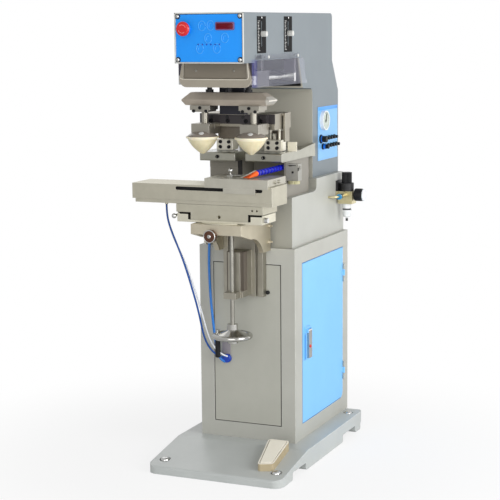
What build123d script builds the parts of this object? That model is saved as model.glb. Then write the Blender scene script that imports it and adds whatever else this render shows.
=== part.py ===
"""Two-colour pad printing machine: cast base, cabinet, knee, shuttle table, C-shaped head and pad carriage.

Frame: millimetres, +X to the machine's right, +Y to its back, +Z up. The origin is on the floor, in the
machine's centre plane, below the cabinet's front face.
"""
from build123d import *
from math import cos, sin, pi, tan, radians
import os

os.makedirs("parts", exist_ok=True)

# Clearances and overruns shared by all pieces
cut = 2.0
gap = 0.4
running = 0.05
screw_clearance = 0.3

# Driving sizes of the machine
base_front = -268.0
base_rear = 465.0
base_top = 59.0
cabinet_half_width = 160.0
base_side_margin = 59.5
cabinet_depth = 469.0
cabinet_height = 608.0
neck_half_width = 145.0
neck_setback = 16.0
neck_ledge_height = 155.0
neck_height = 194.0
column_half_width = 126.0
column_front = 237.0
head_front = -215.0
throat_top = 1143.0
throat_jaw = 97.0
head_height = 136.0
table_top = 960.0
pad_spacing = 158.0
pad_y = -137.0
carriage_travel = 160.0
pad_travel = 50.0
knee_travel = 80.0
shuttle_travel = 156.0

base_half_width = cabinet_half_width + base_side_margin
cabinet_top = base_top + cabinet_height
head_bottom = throat_top + throat_jaw
head_top = head_bottom + head_height
neck_ledge = cabinet_top + neck_ledge_height
neck_top = cabinet_top + neck_height
pad_x = pad_spacing / 2
sides = (-1, 1)

# Base casting
apron_lip = 24.0
apron_kink = -50.0
base_corner = 30.0
kink_round = 60.0
foot_height = 24.0
foot_round = 8.0
front_foot_rear = -172.0
mid_foot_front = -62.0
mid_foot_rear = 262.0
rear_foot_front = 383.0
rear_foot_rear = 433.0
rib = 14.0
rim = 20.0
pocket_depth = 44.0
pocket_columns = 3
pocket_rows = 3

# Levelling bolts
bolt_inset = 35.5
bolt_x = base_half_width - bolt_inset
bolt_front_y = -214.0
bolt_rear_y = 408.0
bolt_radius = 8.0
bolt_head_radius = 14.0
bolt_head_height = 12.0
bolt_dome = 9.0
bolt_seat_radius = 17.0
bolt_front_seat = 26.0
bolt_rear_seat = 52.0

# Cabinet shell
sheet = 3.0
flange = 2.0
flange_width = 12.0
panel_half_width = 114.0
panel_bottom = 108.0
panel_top = 617.0
panel_gap = 0.6
door_front = 59.0
door_rear_margin = 47.0
door_rear = cabinet_depth - door_rear_margin
door_bottom = 108.0
door_top = 616.0
door_gap = 1.0
door_thickness = 2.7
door_corner = 24.0
hinge_radius = 3.2
hinge_pin_radius = 1.6
hinge_height = 60.0
hinge_leaf = 14.0
hinge_leaf_thickness = 1.2
hinge_lower = 170.0
hinge_upper = 500.0

# Front access panel, its lock and the hose grommet
lock_x = 72.0
lock_z = 530.0
lock_radius = 6.0
lock_length = 7.0
key_slot = 2.0
grommet_x = -69.0
grommet_z = 312.0
grommet_radius = 14.0
hose_plate_x = (-91.0, -53.0)
hose_plate_z = (327.0, 358.0)
hose_plate_thickness = 2.0

# Side door and its latch handle
handle_y = 101.0
handle_z = (308.0, 411.0)
handle_width = 34.0
escutcheon_thickness = 4.0
paddle_thickness = 7.0
paddle_margin = 4.0
paddle_pivot_drop = 12.0
paddle_pivot_radius = 2.5
ear_width = 4.0
ear_height = 11.0
finger_recess_y = (59.0, 97.0)
finger_recess_z = (307.0, 388.0)
finger_recess_depth = 1.5
finger_recess_margin = 6.0

# Valve manifold inside the cabinet
manifold_x = (-110.0, 70.0)
manifold_z = (250.0, 290.0)
manifold_depth = 40.0
valve_width = 24.0
valve_height = 70.0
valve_depth = 30.0
valve_count = 5

# Power inlet at the cabinet's rear
inlet_x = 90.0
inlet_z = 150.0
inlet_width = 50.0
inlet_height = 32.0
inlet_flange = 4.0
inlet_socket_width = 24.0
inlet_socket_height = 16.0
inlet_depth = 30.0
inlet_pin_radius = 1.6
inlet_pin_pitch = 7.0
inlet_wall = 3.0

# Neck casting
neck_wall = 8.0
neck_step_y = 223.0
neck_step_round = 20.0
neck_edge_round = 4.0

# Table pedestal
pedestal_half_width = 127.0
pedestal_rear = 200.0
pedestal_recess_left = -20.0
pedestal_recess_rear = 110.0
pedestal_end_wall = 8.0
pedestal_wall = 9.0
pedestal_lip_height = 24.0
pedestal_lip = 1.5

# Cliche table and plates
table_half_width = 135.0
table_thickness = 27.0
table_front = -40.0
table_notch = (-18.0, 17.0)
table_notch_rear = 60.0
table_web_width = 15.0
table_web_rise = 12.0
table_web_drop = 3.0
table_web_front = 110.0
table_round = 4.0
table_screw_x = 76.0
plate_width = 100.0
plate_length = 180.0
plate_inset = 10.0
plate_thickness = 1.0
stop_x = (118.0, 148.0)
stop_y = 50.0
stop_height = 29.0
stop_thickness = 2.0
stop_foot = 12.0

# Cap screws
screw_radius = 3.0
screw_head_radius = 5.0
screw_head_height = 5.0
socket_radius = 2.4
socket_depth = 2.8
screw_depth = 8.0

# Nozzle valve block, its knob and the segmented nozzle
valve_block_x = (127.0, 165.0)
valve_block_y = (16.0, 46.0)
valve_block_z = (874.0, 925.0)
valve_slot = 4.0
valve_slot_length = 12.0
valve_port_radius = 3.5
valve_port_depth = 5.0
valve_ball_radius = 5.0
valve_ball_z = 913.0
valve_knob_radius = 18.0
valve_knob_height = 10.0
valve_stem_radius = 4.0
valve_stem_depth = 8.0
nozzle_hose_radius = 8.0
nozzle_neck_radius = 6.5
nozzle_x = (109.0, 101.0)
nozzle_front = -150.0
nozzle_z = (913.0, 911.0)
nozzle_segments = 14
nozzle_tip = (84.0, -188.0, 901.5)
nozzle_tip_width = 26.0
nozzle_tip_height = 2.4

# Head frame
frame_wall = 6.0
head_top_rear = 413.0
head_slope_top = 1226.0
head_slope_bottom = 1128.0
window_rear = 124.0
window_foot_rear = 156.0
window_foot = 1147.0
throat_round = 18.0
head_rear_round = 14.0
head_edge_round = 3.0
panel_box_x = (-88.0, 126.0)
panel_box_front = -290.0
panel_box_overhang = 6.0
panel_box_bottom = head_bottom - panel_box_overhang
panel_box_wall = 6.0
stroke_slot_y = (-165.0, 36.0)
stroke_slot_z = (1278.0, 1352.0)
stroke_slot_width = 8.0

# Control panel plate, display and emergency stop
control_margin = 4.0
control_thickness = 2.0
control_screw_inset = 6.0
control_screw_radius = 4.5
control_screw_height = 2.5
display_x = (41.0, 94.0)
display_drop = (45.0, 29.0)
display_z = (head_top - display_drop[0], head_top - display_drop[1])
display_height = 1.5
estop_x = -53.0
estop_drop = 45.0
estop_z = head_top - estop_drop
estop_radius = 20.5
estop_cap = 13.0
estop_dome = 8.0
estop_stem_radius = 11.0
estop_depth = 20.0
estop_collar_radius = 15.0
estop_collar = 4.0
estop_travel = 5.0
estop_spare = 3.0
estop_stem = estop_collar + estop_travel + estop_spare

# Chin cover under the head
chin_half_width = 114.0
chin_top_half_width = 103.0
chin_bottom = 1163.0
chin_widest = 1187.0
chin_depth = 8.0
chin_corner = 23.0
chin_rim = 5.0
chin_recess = 3.0
chin_plate_thickness = 1.5
chin_screw_x = 60.0
chin_screw_z = 1211.0

# Stroke scales, side guard
scale_y = ((-197.0, -133.0), (5.0, 67.0))
scale_z = (1260.0, 1365.0)
scale_thickness = 1.0
scale_screw_z = 1357.5
guard_x = 142.0
guard_thickness = 3.0
guard_front = -235.0
guard_bottom = 1164.0
guard_rear_foot = 150.0
guard_flange_top = 1256.0
guard_flange_front = -213.0
guard_screw_y = (-151.0, 76.0)

# Carriage rails, carriage block, pad cylinder and carriage cylinder
rail_x = 85.0
rail_z = 1186.0
rail_radius = 8.0
rail_bar_z = (1170.0, 1262.0)
rail_bar_front = 17.0
rail_bar_rear_y = (100.5, 114.0)
carriage_half_width = 105.0
carriage_y = (-185.0, -61.0)
carriage_z = (1163.0, 1208.0)
pad_cylinder_half_width = 28.0
pad_cylinder_y = (-150.0, -90.0)
pad_cylinder_top = 1335.0
pad_cylinder_bore_top = 1310.0
drive_x = 70.0
drive_z = 1300.0
drive_rod_radius = 8.0
drive_rod_rear = 150.0
drive_lug_half_width = 16.0
drive_lug_depth = 16.0
drive_lug_top = 1318.0
drive_body_radius = 25.0
drive_body_y = (130.0, 350.0)
drive_bore_spare = 20.0
drive_bore_rear = drive_rod_rear + carriage_travel + drive_bore_spare
drive_bracket_y = (200.0, 240.0)
drive_bracket_half_width = 20.0

# Pad bar, hangers, stems, pad holders and pads
bar_half_width = 142.0
bar_y = (-147.0, -88.0)
bar_z = (1107.0, 1120.0, 1124.0, 1145.0)
bar_top_half_width = 116.0
bar_top_y = (-137.0, -105.0)
bar_bottom_inset = 12.0
bar_bottom_inset_y = 3.0
post_x = 63.0
post_y = -117.0
post_radius = 7.5
post_guided = 27.0
post_top = carriage_z[0] + pad_travel + post_guided
post_collar_radius = 12.0
post_collar = 8.0
piston_rod_radius = 9.0
piston_rod_top = 1255.0
hanger_half_width = 32.5
hanger_y = (-153.0, -95.0)
hanger_bottom = 1093.0
hanger_flange_inset = 6.0
hanger_flange = 5.0
hanger_screw_x = 20.0
hanger_hole_radius = 5.0
stem_radius = 10.0
stem_y = -118.0
holder_half_width = 29.5
holder_y = (-152.0, -76.0)
holder_z = (1021.0, 1053.0)
holder_slot = 3.0
adapter_radius = 16.0
pad_top = 1015.0
pad_rim_radius = 49.0
pad_rim = 5.0
pad_rim_step = 4.0
pad_tip = 963.0
pad_tip_radius = 13.0
pad_tip_turn = radians(50)
pad_bulge = 4.0

# Blade carrier and doctor-blade heads
drop_block_x = (-45.0, 35.0)
drop_block_y = (-87.0, -61.0)
cross_plate_half_width = 103.0
cross_plate_y = (-75.0, -61.0)
cross_plate_z = (1041.0, 1077.0)
cross_screw_shares = (-0.75, -0.25, 0.25, 0.75)
arm_x = (63.0, 123.0)
arm_rear = 62.0
arm_z = (1032.0, 1079.0)
arm_plate_x = (126.0, 132.0)
arm_plate_y = (-4.0, 30.0)
arm_plate_bottom = 993.0
blade_half_width = 27.0
blade_x = 80.0
blade_y = (22.0, 62.0)
blade_top = 995.0
blade_lift = 8.0
blade_pin_radius = 4.0
blade_pin_spread = 14.0
blade_pin_depth = 20.0
blade_screw_share = 0.5
blade_edge = 1.6
blade_knob_radius = 4.5
blade_knob_length = 10.0

# Shuttle beam and shuttle plate
beam_x = (-285.0, 170.0)
beam_y = (-200.0, -85.0)
beam_z = (830.0, 876.0)
beam_step = 8.0
beam_slot_z = (859.5, 870.0)
beam_slot_depth = 12.0
plate_x = (-42.0, 160.0)
plate_y = (-206.0, -71.0)
plate_z = (870.0, 898.0)
driver_x = (18.0, 120.0)
driver_z = (855.0, 865.0)
driver_tongue_inset = 12.0
driver_tongue_depth = 8.0
beam_slot_spare = 14.0
beam_slot_half_width = shuttle_travel - driver_x[0] - driver_tongue_inset + beam_slot_spare
fixture_hole_radius = 2.6
fixture_spacing_x = 120.0
fixture_spacing_y = 60.0
fixture_centre = (59.0, -136.0)
fixture_hole_depth = 14.0
clamp_x = 13.0
clamp_y = -140.0
clamp_ball_radius = 7.0
clamp_ball_z = 916.0
clamp_stem_radius = 3.0
clamp_foot_half_width = 9.0
clamp_foot = 4.0
clamp_leaf_length = 34.0
clamp_leaf = 2.0
clamp_leaf_half_width = 6.0
plate_end_screw_spread = 14.0

# Cross slide and lower slide
cross_half_width = 140.0
cross_y = (-197.0, -90.0)
cross_z = (794.0, 818.0)
tongue_half_width = 93.0
lower_half_width = 137.0
lower_y = (-197.0, -94.0)
lower_z = (765.0, 791.0)
lower_floor = 772.0
lower_gib_gap = 5.0
swivel_disc_radius = 75.0
swivel_y = -146.0
feed_hole_radius = 5.0
feed_hole_depth = 20.0
side_hole_radius = 3.0
side_hole_x = (106.0, 121.0)
lever_pivot = (-165.0, 786.0)
lever_ball = (-197.0, 781.0)
lever_hub_radius = 7.0
lever_hub_length = 7.0
lever_arm_radius = 3.0
lever_ball_radius = 7.5
lever_pin_radius = 3.0
lever_pin_depth = 8.0
slide_knob_y = -182.0
slide_knob_z = 778.0
slide_knob_radius = 8.0
slide_knob_length = 13.0

# Knee casting and its clamp knob
knee_half_width = 81.0
knee_cheek = 15.0
knee_front = -222.0
knee_top = 763.0
knee_plate = 12.0
knee_flange_depth = 15.0
knee_flange_bottom = 733.0
knee_rear = -1.0
knee_low = 661.0
knee_arch_y = (-150.0, -55.0)
knee_arch_z = (714.0, 661.0)
knee_arch_sag = 14.0
knee_boss_radius = 14.0
knee_boss_bottom = 725.0
gib_screw_y = -14.0
gib_screw_z = (738.0, 689.0)
gib_screw_out = 12.0
gib_block_x = (-90.0, -66.0)
gib_block_y = (-114.0, -84.0)
gib_block_z = (692.0, 735.0)
clamp_boss_radius = 13.0
knee_knob_x = -15.0
knee_knob_z = 730.0
knee_knob_radius = 19.0
knee_knob_length = 14.0
knee_knob_shank = 5.0

# Knee guide, lead screw and handwheel
guide_half_width = knee_half_width - knee_cheek - gap
guide_thickness = 26.0
guide_bottom = 519.0
guide_top = 800.0
guide_relief = 1.0
guide_core_spare = 7.0
guide_core_top = knee_top - knee_plate - knee_travel - guide_core_spare
guide_core_half_width = 28.0
guide_core_front = -95.0
guide_groove = 8.0
guide_groove_depth = 10.0
guide_groove_x = 45.0
lug_half_width = 20.0
lug_front = -130.0
lug_z = (526.0, 545.0)
screw_y = -110.0
lead_radius = 6.5
lead_top = 746.0
lead_collar_radius = 12.0
lead_collar = 8.0
wheel_radius = 61.5
wheel_rim_radius = 8.0
wheel_z = 410.0
wheel_web = 8.0
wheel_hub_radius = 16.0
wheel_hub_z = (388.0, 447.0)
wheel_dish = 20.0
wheel_nut_radius = 6.0
wheel_nut = 5.0
wheel_handle_radius = 8.0
wheel_handle_offset = 50.0
wheel_handle_z = (339.0, 400.0)
wheel_spindle_radius = 3.0

# Air panel, gauges and flow valves
air_panel_width = 175.0
air_panel_margin = 11.0
air_panel_y = (cabinet_depth - air_panel_margin - air_panel_width, cabinet_depth - air_panel_margin)
air_panel_z = (910.0, 1081.0)
air_panel_thickness = 2.0
gauge_inset = 43.0
gauge_y = air_panel_y[0] + gauge_inset
gauge_z = 1037.0
gauge_radius = 31.0
gauge_depth = 12.0
gauge_bezel = 3.0
gauge_face = 3.0
fitting_radius = 5.0
fitting_length = 14.0
fitting_nut = 5.0
fitting_pitch = 24.0
valve_cap_radius = 10.0
valve_cap_length = 22.0
upper_row_inset = 20.0
lower_row_inset = 38.0
upper_row = (air_panel_y[0] + upper_row_inset, 979.0)
lower_row = (air_panel_y[0] + lower_row_inset, 954.0)
lower_knob_radius = 7.0

# Filter-regulator and its elbow
frl_y = 420.0
frl_half_depth = 20.0
frl_x = (151.0, 200.0)
frl_body_z = (761.0, 802.0)
frl_bonnet_radius = 23.0
frl_bonnet_top = 828.0
frl_knob_radius = 16.5
frl_knob_top = 863.0
frl_axis_x = 175.0
frl_bracket_z = (784.0, 836.0)
frl_bracket_half_depth = 24.0
frl_spindle_radius = 4.0
frl_spindle_depth = 10.0
bowl_radius = 14.0
bowl_bottom = 716.0
bowl_ring_z = (734.0, 740.0)
bowl_ring = 2.0
drain_radius = 4.0
drain_bottom = 703.0
side_gauge_x = (205.0, 236.0)
side_gauge_radius = 20.0
side_gauge_z = 790.5
side_gauge_stem = 5.0
inlet_thread_radius = 5.8
inlet_thread_depth = 12.0
nipple_radius = 6.0
nipple_length = 25.0
nipple_z = 790.0
collar_radius = 8.0
collar_length = 10.0
elbow_radius = 4.0
elbow_bend = 26.0

# Foot pedal
pedal_outline = ((126.0, -222.0), (172.0, -209.0), (164.0, -60.0), (95.0, -60.0))
pedal_corner = 10.0
pedal_rise_front = 22.0
pedal_rise_rear = 28.0
pedal_wall = 5.0
pedal_treadle_thickness = 8.0
pedal_proud = 2.0
pedal_clearance = 2.2
pedal_drop = 11.0
pedal_pivot_y = -200.0
pedal_pin_radius = 2.0

# Hoses and their fittings
hose_blue_radius = 3.0
hose_white_radius = 2.5
hose_neck_radius = 4.0
hose_fitting_radius = 6.0
hose_fitting_length = 10.0
neck_fitting_length = 14.0
fitting_share = 1.6
radius_share = 0.45
shuttle_blue_route = (
    (-201, -140, 808), (-201, -140, 785), (-197, -138, 753), (-186, -133, 716), (-172, -126, 676),
    (-159, -118, 634), (-148, -110, 590), (-138, -100, 541), (-129, -89, 492), (-124, -78, 448),
    (-122, -66, 406), (-117, -54, 372), (-107, -41, 345), (-94, -28, 327), (-84, -18, 319), (-77, -8, 317),
)
shuttle_white_route = (
    (-205, -131, 808), (-205, -131, 780), (-200, -129, 746), (-189, -125, 708), (-173, -118, 668),
    (-157, -110, 628), (-144, -102, 584), (-132, -93, 536), (-121, -83, 488), (-114, -73, 444),
    (-108, -62, 404), (-100, -51, 370), (-89, -39, 345), (-78, -27, 331), (-70, -17, 323), (-64, -8, 319),
)
neck_blue_route = (
    (-122, -8, 694), (-122, -9, 668), (-122, -12, 634), (-121, -14, 590), (-119, -15, 542),
    (-116, -15, 492), (-112, -14, 444), (-108, -13, 402), (-103, -12, 364), (-96, -12, 330),
    (-86, -11, 307), (-73, -8, 301),
)


def block(x, y, z):
    """Box between a low and a high value on each axis."""
    centre = Pos((x[0] + x[1]) / 2, (y[0] + y[1]) / 2, (z[0] + z[1]) / 2)
    return centre * Box(x[1] - x[0], y[1] - y[0], z[1] - z[0])


def rod(radius, start, end):
    """Cylinder between two points."""
    axis = Vector(*end) - Vector(*start)
    on_start = (Align.CENTER, Align.CENTER, Align.MIN)
    return Plane(origin=start, z_dir=axis) * Cylinder(radius, axis.length, align=on_start)


def outline(points, radii):
    """Closed face through points, with one corner radius for each (or one for all)."""
    return make_face(FilletPolyline(*points, radius=radii, close=True))


def slab_x(points, x, radii=0):
    """Outline in (Y, Z), thick along X."""
    plane = Plane(origin=(x[0], 0, 0), x_dir=(0, 1, 0), z_dir=(1, 0, 0))
    return extrude(plane * outline(points, radii), x[1] - x[0])


def slab_y(points, y, radii=0):
    """Outline in (X, Z), thick along Y."""
    plane = Plane(origin=(0, y[1], 0), x_dir=(1, 0, 0), z_dir=(0, -1, 0))
    return extrude(plane * outline(points, radii), y[1] - y[0])


def slab_z(points, z, radii=0):
    """Outline in (X, Y), thick along Z."""
    return extrude(Pos(0, 0, z[0]) * outline(points, radii), z[1] - z[0])


def rectangle(u, v):
    """Four corner points of a rectangle."""
    return [(u[0], v[0]), (u[1], v[0]), (u[1], v[1]), (u[0], v[1])]


def both(half):
    """Low and high value of a width about the centre plane."""
    return (-half, half)


def fluted(radius, start, direction, height, flutes):
    """Disc with a fluted edge, from a start point along a direction."""
    valley = radius * 0.92
    points = []
    for step in range(2 * flutes):
        reach = radius if step % 2 == 0 else valley
        turn = pi * step / flutes
        points.append((reach * cos(turn), reach * sin(turn)))
    return extrude(Plane(origin=start, z_dir=direction) * outline(points, 0), height)


def cap_screw(seat, direction, head_radius=screw_head_radius, head_height=screw_head_height):
    """Socket cap screw: its head stands on the seat, its shank goes in behind it."""
    out = Vector(*direction)
    foot = Vector(*seat)
    head = rod(head_radius, foot, foot + out * head_height)
    shank = rod(screw_radius, foot - out * screw_depth, foot)
    socket = rod(socket_radius, foot + out * (head_height - socket_depth), foot + out * (head_height + cut))
    return head + shank - socket


def screw_hole(seat, direction):
    """Hole for a cap screw's shank."""
    out = Vector(*direction)
    foot = Vector(*seat)
    return rod(screw_radius + screw_clearance, foot - out * (screw_depth + screw_clearance),
               foot + out * cut)


def save(name, *solids):
    """Write one sub-part."""
    shape = solids[0] if len(solids) == 1 else Compound(children=list(solids))
    export_step(shape, f"parts/{name}.step")


def apron_height(y):
    """Height of the base's top at a depth."""
    if y > apron_kink:
        return base_top
    return apron_lip + (base_top - apron_lip) * (y - base_front) / (apron_kink - base_front)


def base_casting():
    side = [
        (base_front, 0), (base_front, apron_lip), (apron_kink, base_top), (base_rear, base_top),
        (base_rear, foot_height), (rear_foot_rear, foot_height), (rear_foot_rear, 0), (rear_foot_front, 0),
        (rear_foot_front, foot_height), (mid_foot_rear, foot_height), (mid_foot_rear, 0),
        (mid_foot_front, 0),
        (mid_foot_front, foot_height), (front_foot_rear, foot_height), (front_foot_rear, 0),
    ]
    radii = [0, foot_round, kink_round] + [foot_round] * 2 + [foot_round] * 10
    body = slab_x(side, both(base_half_width), radii)
    plan = rectangle(both(base_half_width), (base_front, base_rear))
    body &= slab_z(plan, (0, base_top), base_corner)
    pocket_x = 2 * (base_half_width - rim) - (pocket_columns - 1) * rib
    pocket_y = mid_foot_rear - mid_foot_front - 2 * rim - (pocket_rows - 1) * rib
    width = pocket_x / pocket_columns
    length = pocket_y / pocket_rows
    for column in range(pocket_columns):
        for row in range(pocket_rows):
            x = -base_half_width + rim + column * (width + rib)
            y = mid_foot_front + rim + row * (length + rib)
            body -= block((x, x + width), (y, y + length), (-cut, pocket_depth))
    for x, y, seat in bolt_places():
        body -= rod(bolt_radius + screw_clearance, (x, y, -cut), (x, y, base_top + cut))
        body -= rod(bolt_seat_radius, (x, y, seat), (x, y, base_top + cut))
    save("base_casting", body)


def bolt_places():
    """Centre and seat height of each levelling bolt."""
    places = []
    for side in sides:
        places.append((side * bolt_x, bolt_front_y, bolt_front_seat))
        places.append((side * bolt_x, bolt_rear_y, bolt_rear_seat))
    return places


def levelling_bolts():
    bolts = []
    for x, y, seat in bolt_places():
        head = rod(bolt_head_radius, (x, y, seat), (x, y, seat + bolt_head_height))
        head = fillet(head.edges().group_by(Axis.Z)[-1], bolt_dome)
        bolts.append(head + rod(bolt_radius, (x, y, 0), (x, y, seat)))
    save("levelling_bolts", *bolts)


def door_outline(margin):
    """Door outline in (Y, Z), grown by a margin."""
    corners = rectangle((door_front - margin, door_rear + margin),
                        (door_bottom - margin, door_top + margin))
    return corners, [margin, door_corner + margin, margin, margin]


def hinge_axis():
    """X and Y of the door's hinge pins."""
    return cabinet_half_width + hinge_radius + gap, door_rear + hinge_radius


def hinge_piece(z, leaf_y, bored):
    """One hinge knuckle with its leaf on the cabinet's side."""
    x, y = hinge_axis()
    knuckle = rod(hinge_radius, (x, y, z[0]), (x, y, z[1]))
    leaf = block((cabinet_half_width, cabinet_half_width + hinge_leaf_thickness), leaf_y, z)
    tie_y = (max(leaf_y[0], y - hinge_radius), min(leaf_y[1], y + hinge_radius))
    tie = block((cabinet_half_width, x), tie_y, z)
    piece = knuckle + leaf + tie
    if bored:
        piece -= rod(hinge_pin_radius + running, (x, y, z[0] - cut), (x, y, z[1] + cut))
    return piece


def hinge_spans(low):
    """Height spans of a hinge's lower, middle and upper knuckle."""
    share = hinge_height / 3
    return [(low, low + share - gap), (low + share, low + 2 * share),
            (low + 2 * share + gap, low + hinge_height)]


def cabinet_shell():
    outer = block(both(cabinet_half_width), (0, cabinet_depth), (base_top, cabinet_top))
    inside_x = both(cabinet_half_width - sheet)
    inside_z = (base_top + sheet, cabinet_top - sheet)
    body = outer - block(inside_x, (sheet, cabinet_depth - sheet), inside_z)
    front_flange = block(inside_x, (sheet, sheet + flange), inside_z)
    inner_half = panel_half_width - flange_width
    inner_z = (panel_bottom + flange_width, panel_top - flange_width)
    front_flange -= block(both(inner_half), (0, sheet + flange + cut), inner_z)
    body += front_flange
    body -= block(both(panel_half_width), (-cut, sheet), (panel_bottom, panel_top))
    side_x = (cabinet_half_width - sheet - flange, cabinet_half_width - sheet)
    ring = slab_x(rectangle((door_front - flange_width, door_rear + flange_width),
                            (door_bottom - flange_width, door_top + flange_width)), side_x)
    ring -= block((side_x[0] - cut, side_x[1] + cut), (door_front + flange_width, door_rear - flange_width),
                  (door_bottom + flange_width, door_top - flange_width))
    body += ring
    corners, radii = door_outline(door_gap)
    body -= slab_x(corners, (cabinet_half_width - sheet, cabinet_half_width + cut), radii)
    body -= block((inlet_x - inlet_width / 2 + inlet_wall, inlet_x + inlet_width / 2 - inlet_wall),
                  (cabinet_depth - sheet - cut, cabinet_depth + cut),
                  (inlet_z - inlet_height / 2 + inlet_wall, inlet_z + inlet_height / 2 - inlet_wall))
    x, y = hinge_axis()
    for low in (hinge_lower, hinge_upper):
        lower, middle, upper = hinge_spans(low)
        leaf_y = (y, y + hinge_leaf)
        body += hinge_piece(lower, leaf_y, False) + hinge_piece(upper, leaf_y, False)
        body += rod(hinge_pin_radius, (x, y, low), (x, y, low + hinge_height))
    save("cabinet_shell", body)


def front_access_panel():
    half = panel_half_width - panel_gap
    plate = block(both(half), (0, sheet), (panel_bottom + panel_gap, panel_top - panel_gap))
    plate -= rod(grommet_radius + screw_clearance, (grommet_x, -cut, grommet_z),
                 (grommet_x, sheet + cut, grommet_z))
    lock = rod(lock_radius, (lock_x, -lock_length, lock_z), (lock_x, 0, lock_z))
    slot = block((lock_x - key_slot / 2, lock_x + key_slot / 2),
                 (-lock_length - cut, -lock_length + key_slot),
                 (lock_z - lock_radius / 2, lock_z + lock_radius / 2))
    hose_plate = block(hose_plate_x, (-hose_plate_thickness, 0), hose_plate_z)
    save("front_access_panel", plate, lock - slot, hose_plate)


def side_door():
    outer = cabinet_half_width
    corners, radii = door_outline(0)
    leaf = slab_x(corners, (outer - door_thickness, outer), radii)
    leaf -= block((outer - finger_recess_depth, outer + cut),
                  (finger_recess_y[0] + finger_recess_margin, finger_recess_y[1]), finger_recess_z)
    x, y = hinge_axis()
    for low in (hinge_lower, hinge_upper):
        leaf += hinge_piece(hinge_spans(low)[1], (y - hinge_leaf, y), True)
    plate_x_span = (outer, outer + escutcheon_thickness)
    plate_y_span = (handle_y - handle_width / 2, handle_y + handle_width / 2)
    escutcheon = block(plate_x_span, plate_y_span, handle_z)
    pivot = paddle_pivot()
    for side in sides:
        edge = handle_y + side * handle_width / 2
        ear_y = sorted((edge, edge - side * ear_width))
        escutcheon += block((outer, pivot[0] + paddle_pivot_radius + gap), ear_y,
                            (pivot[1] - ear_height / 2, pivot[1] + ear_height / 2))
    pin = rod(paddle_pivot_radius, (pivot[0], plate_y_span[0] + ear_width / 2, pivot[1]),
              (pivot[0], plate_y_span[1] - ear_width / 2, pivot[1]))
    save("side_door", leaf, escutcheon + pin)


def paddle_pivot():
    """X and Z of the door paddle's pivot."""
    lift = escutcheon_thickness + gap + paddle_thickness / 2
    return cabinet_half_width + lift, handle_z[1] - paddle_pivot_drop


def door_handle():
    pivot = paddle_pivot()
    reach = handle_width / 2 - ear_width - gap
    low = handle_z[0] + paddle_margin
    x = (pivot[0] - paddle_thickness / 2, pivot[0] + paddle_thickness / 2)
    paddle = block(x, (handle_y - reach, handle_y + reach), (low, pivot[1]))
    paddle += rod(paddle_thickness / 2, (pivot[0], handle_y - reach, pivot[1]),
                  (pivot[0], handle_y + reach, pivot[1]))
    paddle -= rod(paddle_pivot_radius + running, (pivot[0], handle_y - reach - cut, pivot[1]),
                  (pivot[0], handle_y + reach + cut, pivot[1]))
    save("door_handle", paddle)


def valve_manifold():
    rear = cabinet_depth - sheet
    pieces = [block(manifold_x, (rear - manifold_depth, rear), manifold_z)]
    pitch = (manifold_x[1] - manifold_x[0]) / valve_count
    for index in range(valve_count):
        x = manifold_x[0] + (index + 0.5) * pitch
        pieces.append(block((x - valve_width / 2, x + valve_width / 2), (rear - valve_depth, rear),
                            (manifold_z[1], manifold_z[1] + valve_height)))
    save("valve_manifold", *pieces)


def power_inlet():
    front = cabinet_depth - inlet_depth
    shell = block((inlet_x - inlet_width / 2, inlet_x + inlet_width / 2),
                  (cabinet_depth, cabinet_depth + inlet_flange),
                  (inlet_z - inlet_height / 2, inlet_z + inlet_height / 2))
    can_x = inlet_socket_width / 2 + inlet_wall
    can_z = inlet_socket_height / 2 + inlet_wall
    shell += block((inlet_x - can_x, inlet_x + can_x), (front, cabinet_depth),
                   (inlet_z - can_z, inlet_z + can_z))
    shell -= block((inlet_x - inlet_socket_width / 2, inlet_x + inlet_socket_width / 2),
                   (front + inlet_wall, cabinet_depth + inlet_flange + cut),
                   (inlet_z - inlet_socket_height / 2, inlet_z + inlet_socket_height / 2))
    for place in (-1, 0, 1):
        x = inlet_x + place * inlet_pin_pitch
        shell += rod(inlet_pin_radius, (x, front, inlet_z), (x, cabinet_depth - inlet_flange, inlet_z))
    save("power_inlet", shell)


def neck_casting():
    side = [
        (neck_setback, cabinet_top), (neck_setback, neck_ledge), (neck_step_y, neck_ledge),
        (neck_step_y, neck_top),
        (cabinet_depth, neck_top), (cabinet_depth, cabinet_top),
    ]
    radii = [0, neck_edge_round, neck_step_round, neck_edge_round, neck_edge_round, 0]
    body = slab_x(side, both(neck_half_width), radii)
    inner = [
        (neck_setback + neck_wall, cabinet_top - cut), (neck_setback + neck_wall, neck_ledge - neck_wall),
        (neck_step_y + neck_wall, neck_ledge - neck_wall), (neck_step_y + neck_wall, neck_top - neck_wall),
        (cabinet_depth - neck_wall, neck_top - neck_wall), (cabinet_depth - neck_wall, cabinet_top - cut),
    ]
    body -= slab_x(inner, both(neck_half_width - neck_wall))
    save("neck_casting", body)


def table_pedestal():
    z = (neck_ledge, table_top - table_thickness)
    body = block(both(pedestal_half_width), (neck_setback, pedestal_rear), z)
    recess_x = (pedestal_recess_left, pedestal_half_width - pedestal_end_wall)
    body -= block(recess_x, (neck_setback - cut, pedestal_recess_rear), (z[0] - cut, z[1] + cut))
    wall = pedestal_wall
    core_z = (z[0] - cut, z[1] - wall)
    body -= block((-pedestal_half_width + wall, pedestal_recess_left - wall),
                  (neck_setback + wall, pedestal_rear - wall), core_z)
    body -= block(both(pedestal_half_width - wall), (pedestal_recess_rear + wall, pedestal_rear - wall),
                  core_z)
    body += block((-pedestal_half_width, pedestal_recess_left), (neck_setback - pedestal_lip, neck_setback),
                  (z[1] - pedestal_lip_height, z[1]))
    save("table_pedestal", body)


def plate_spans(side):
    """X and Y spans of one cliche plate."""
    centre = side * (table_half_width + table_notch[1]) / 2
    y = table_front + plate_inset
    return (centre - plate_width / 2, centre + plate_width / 2), (y, y + plate_length)


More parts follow.
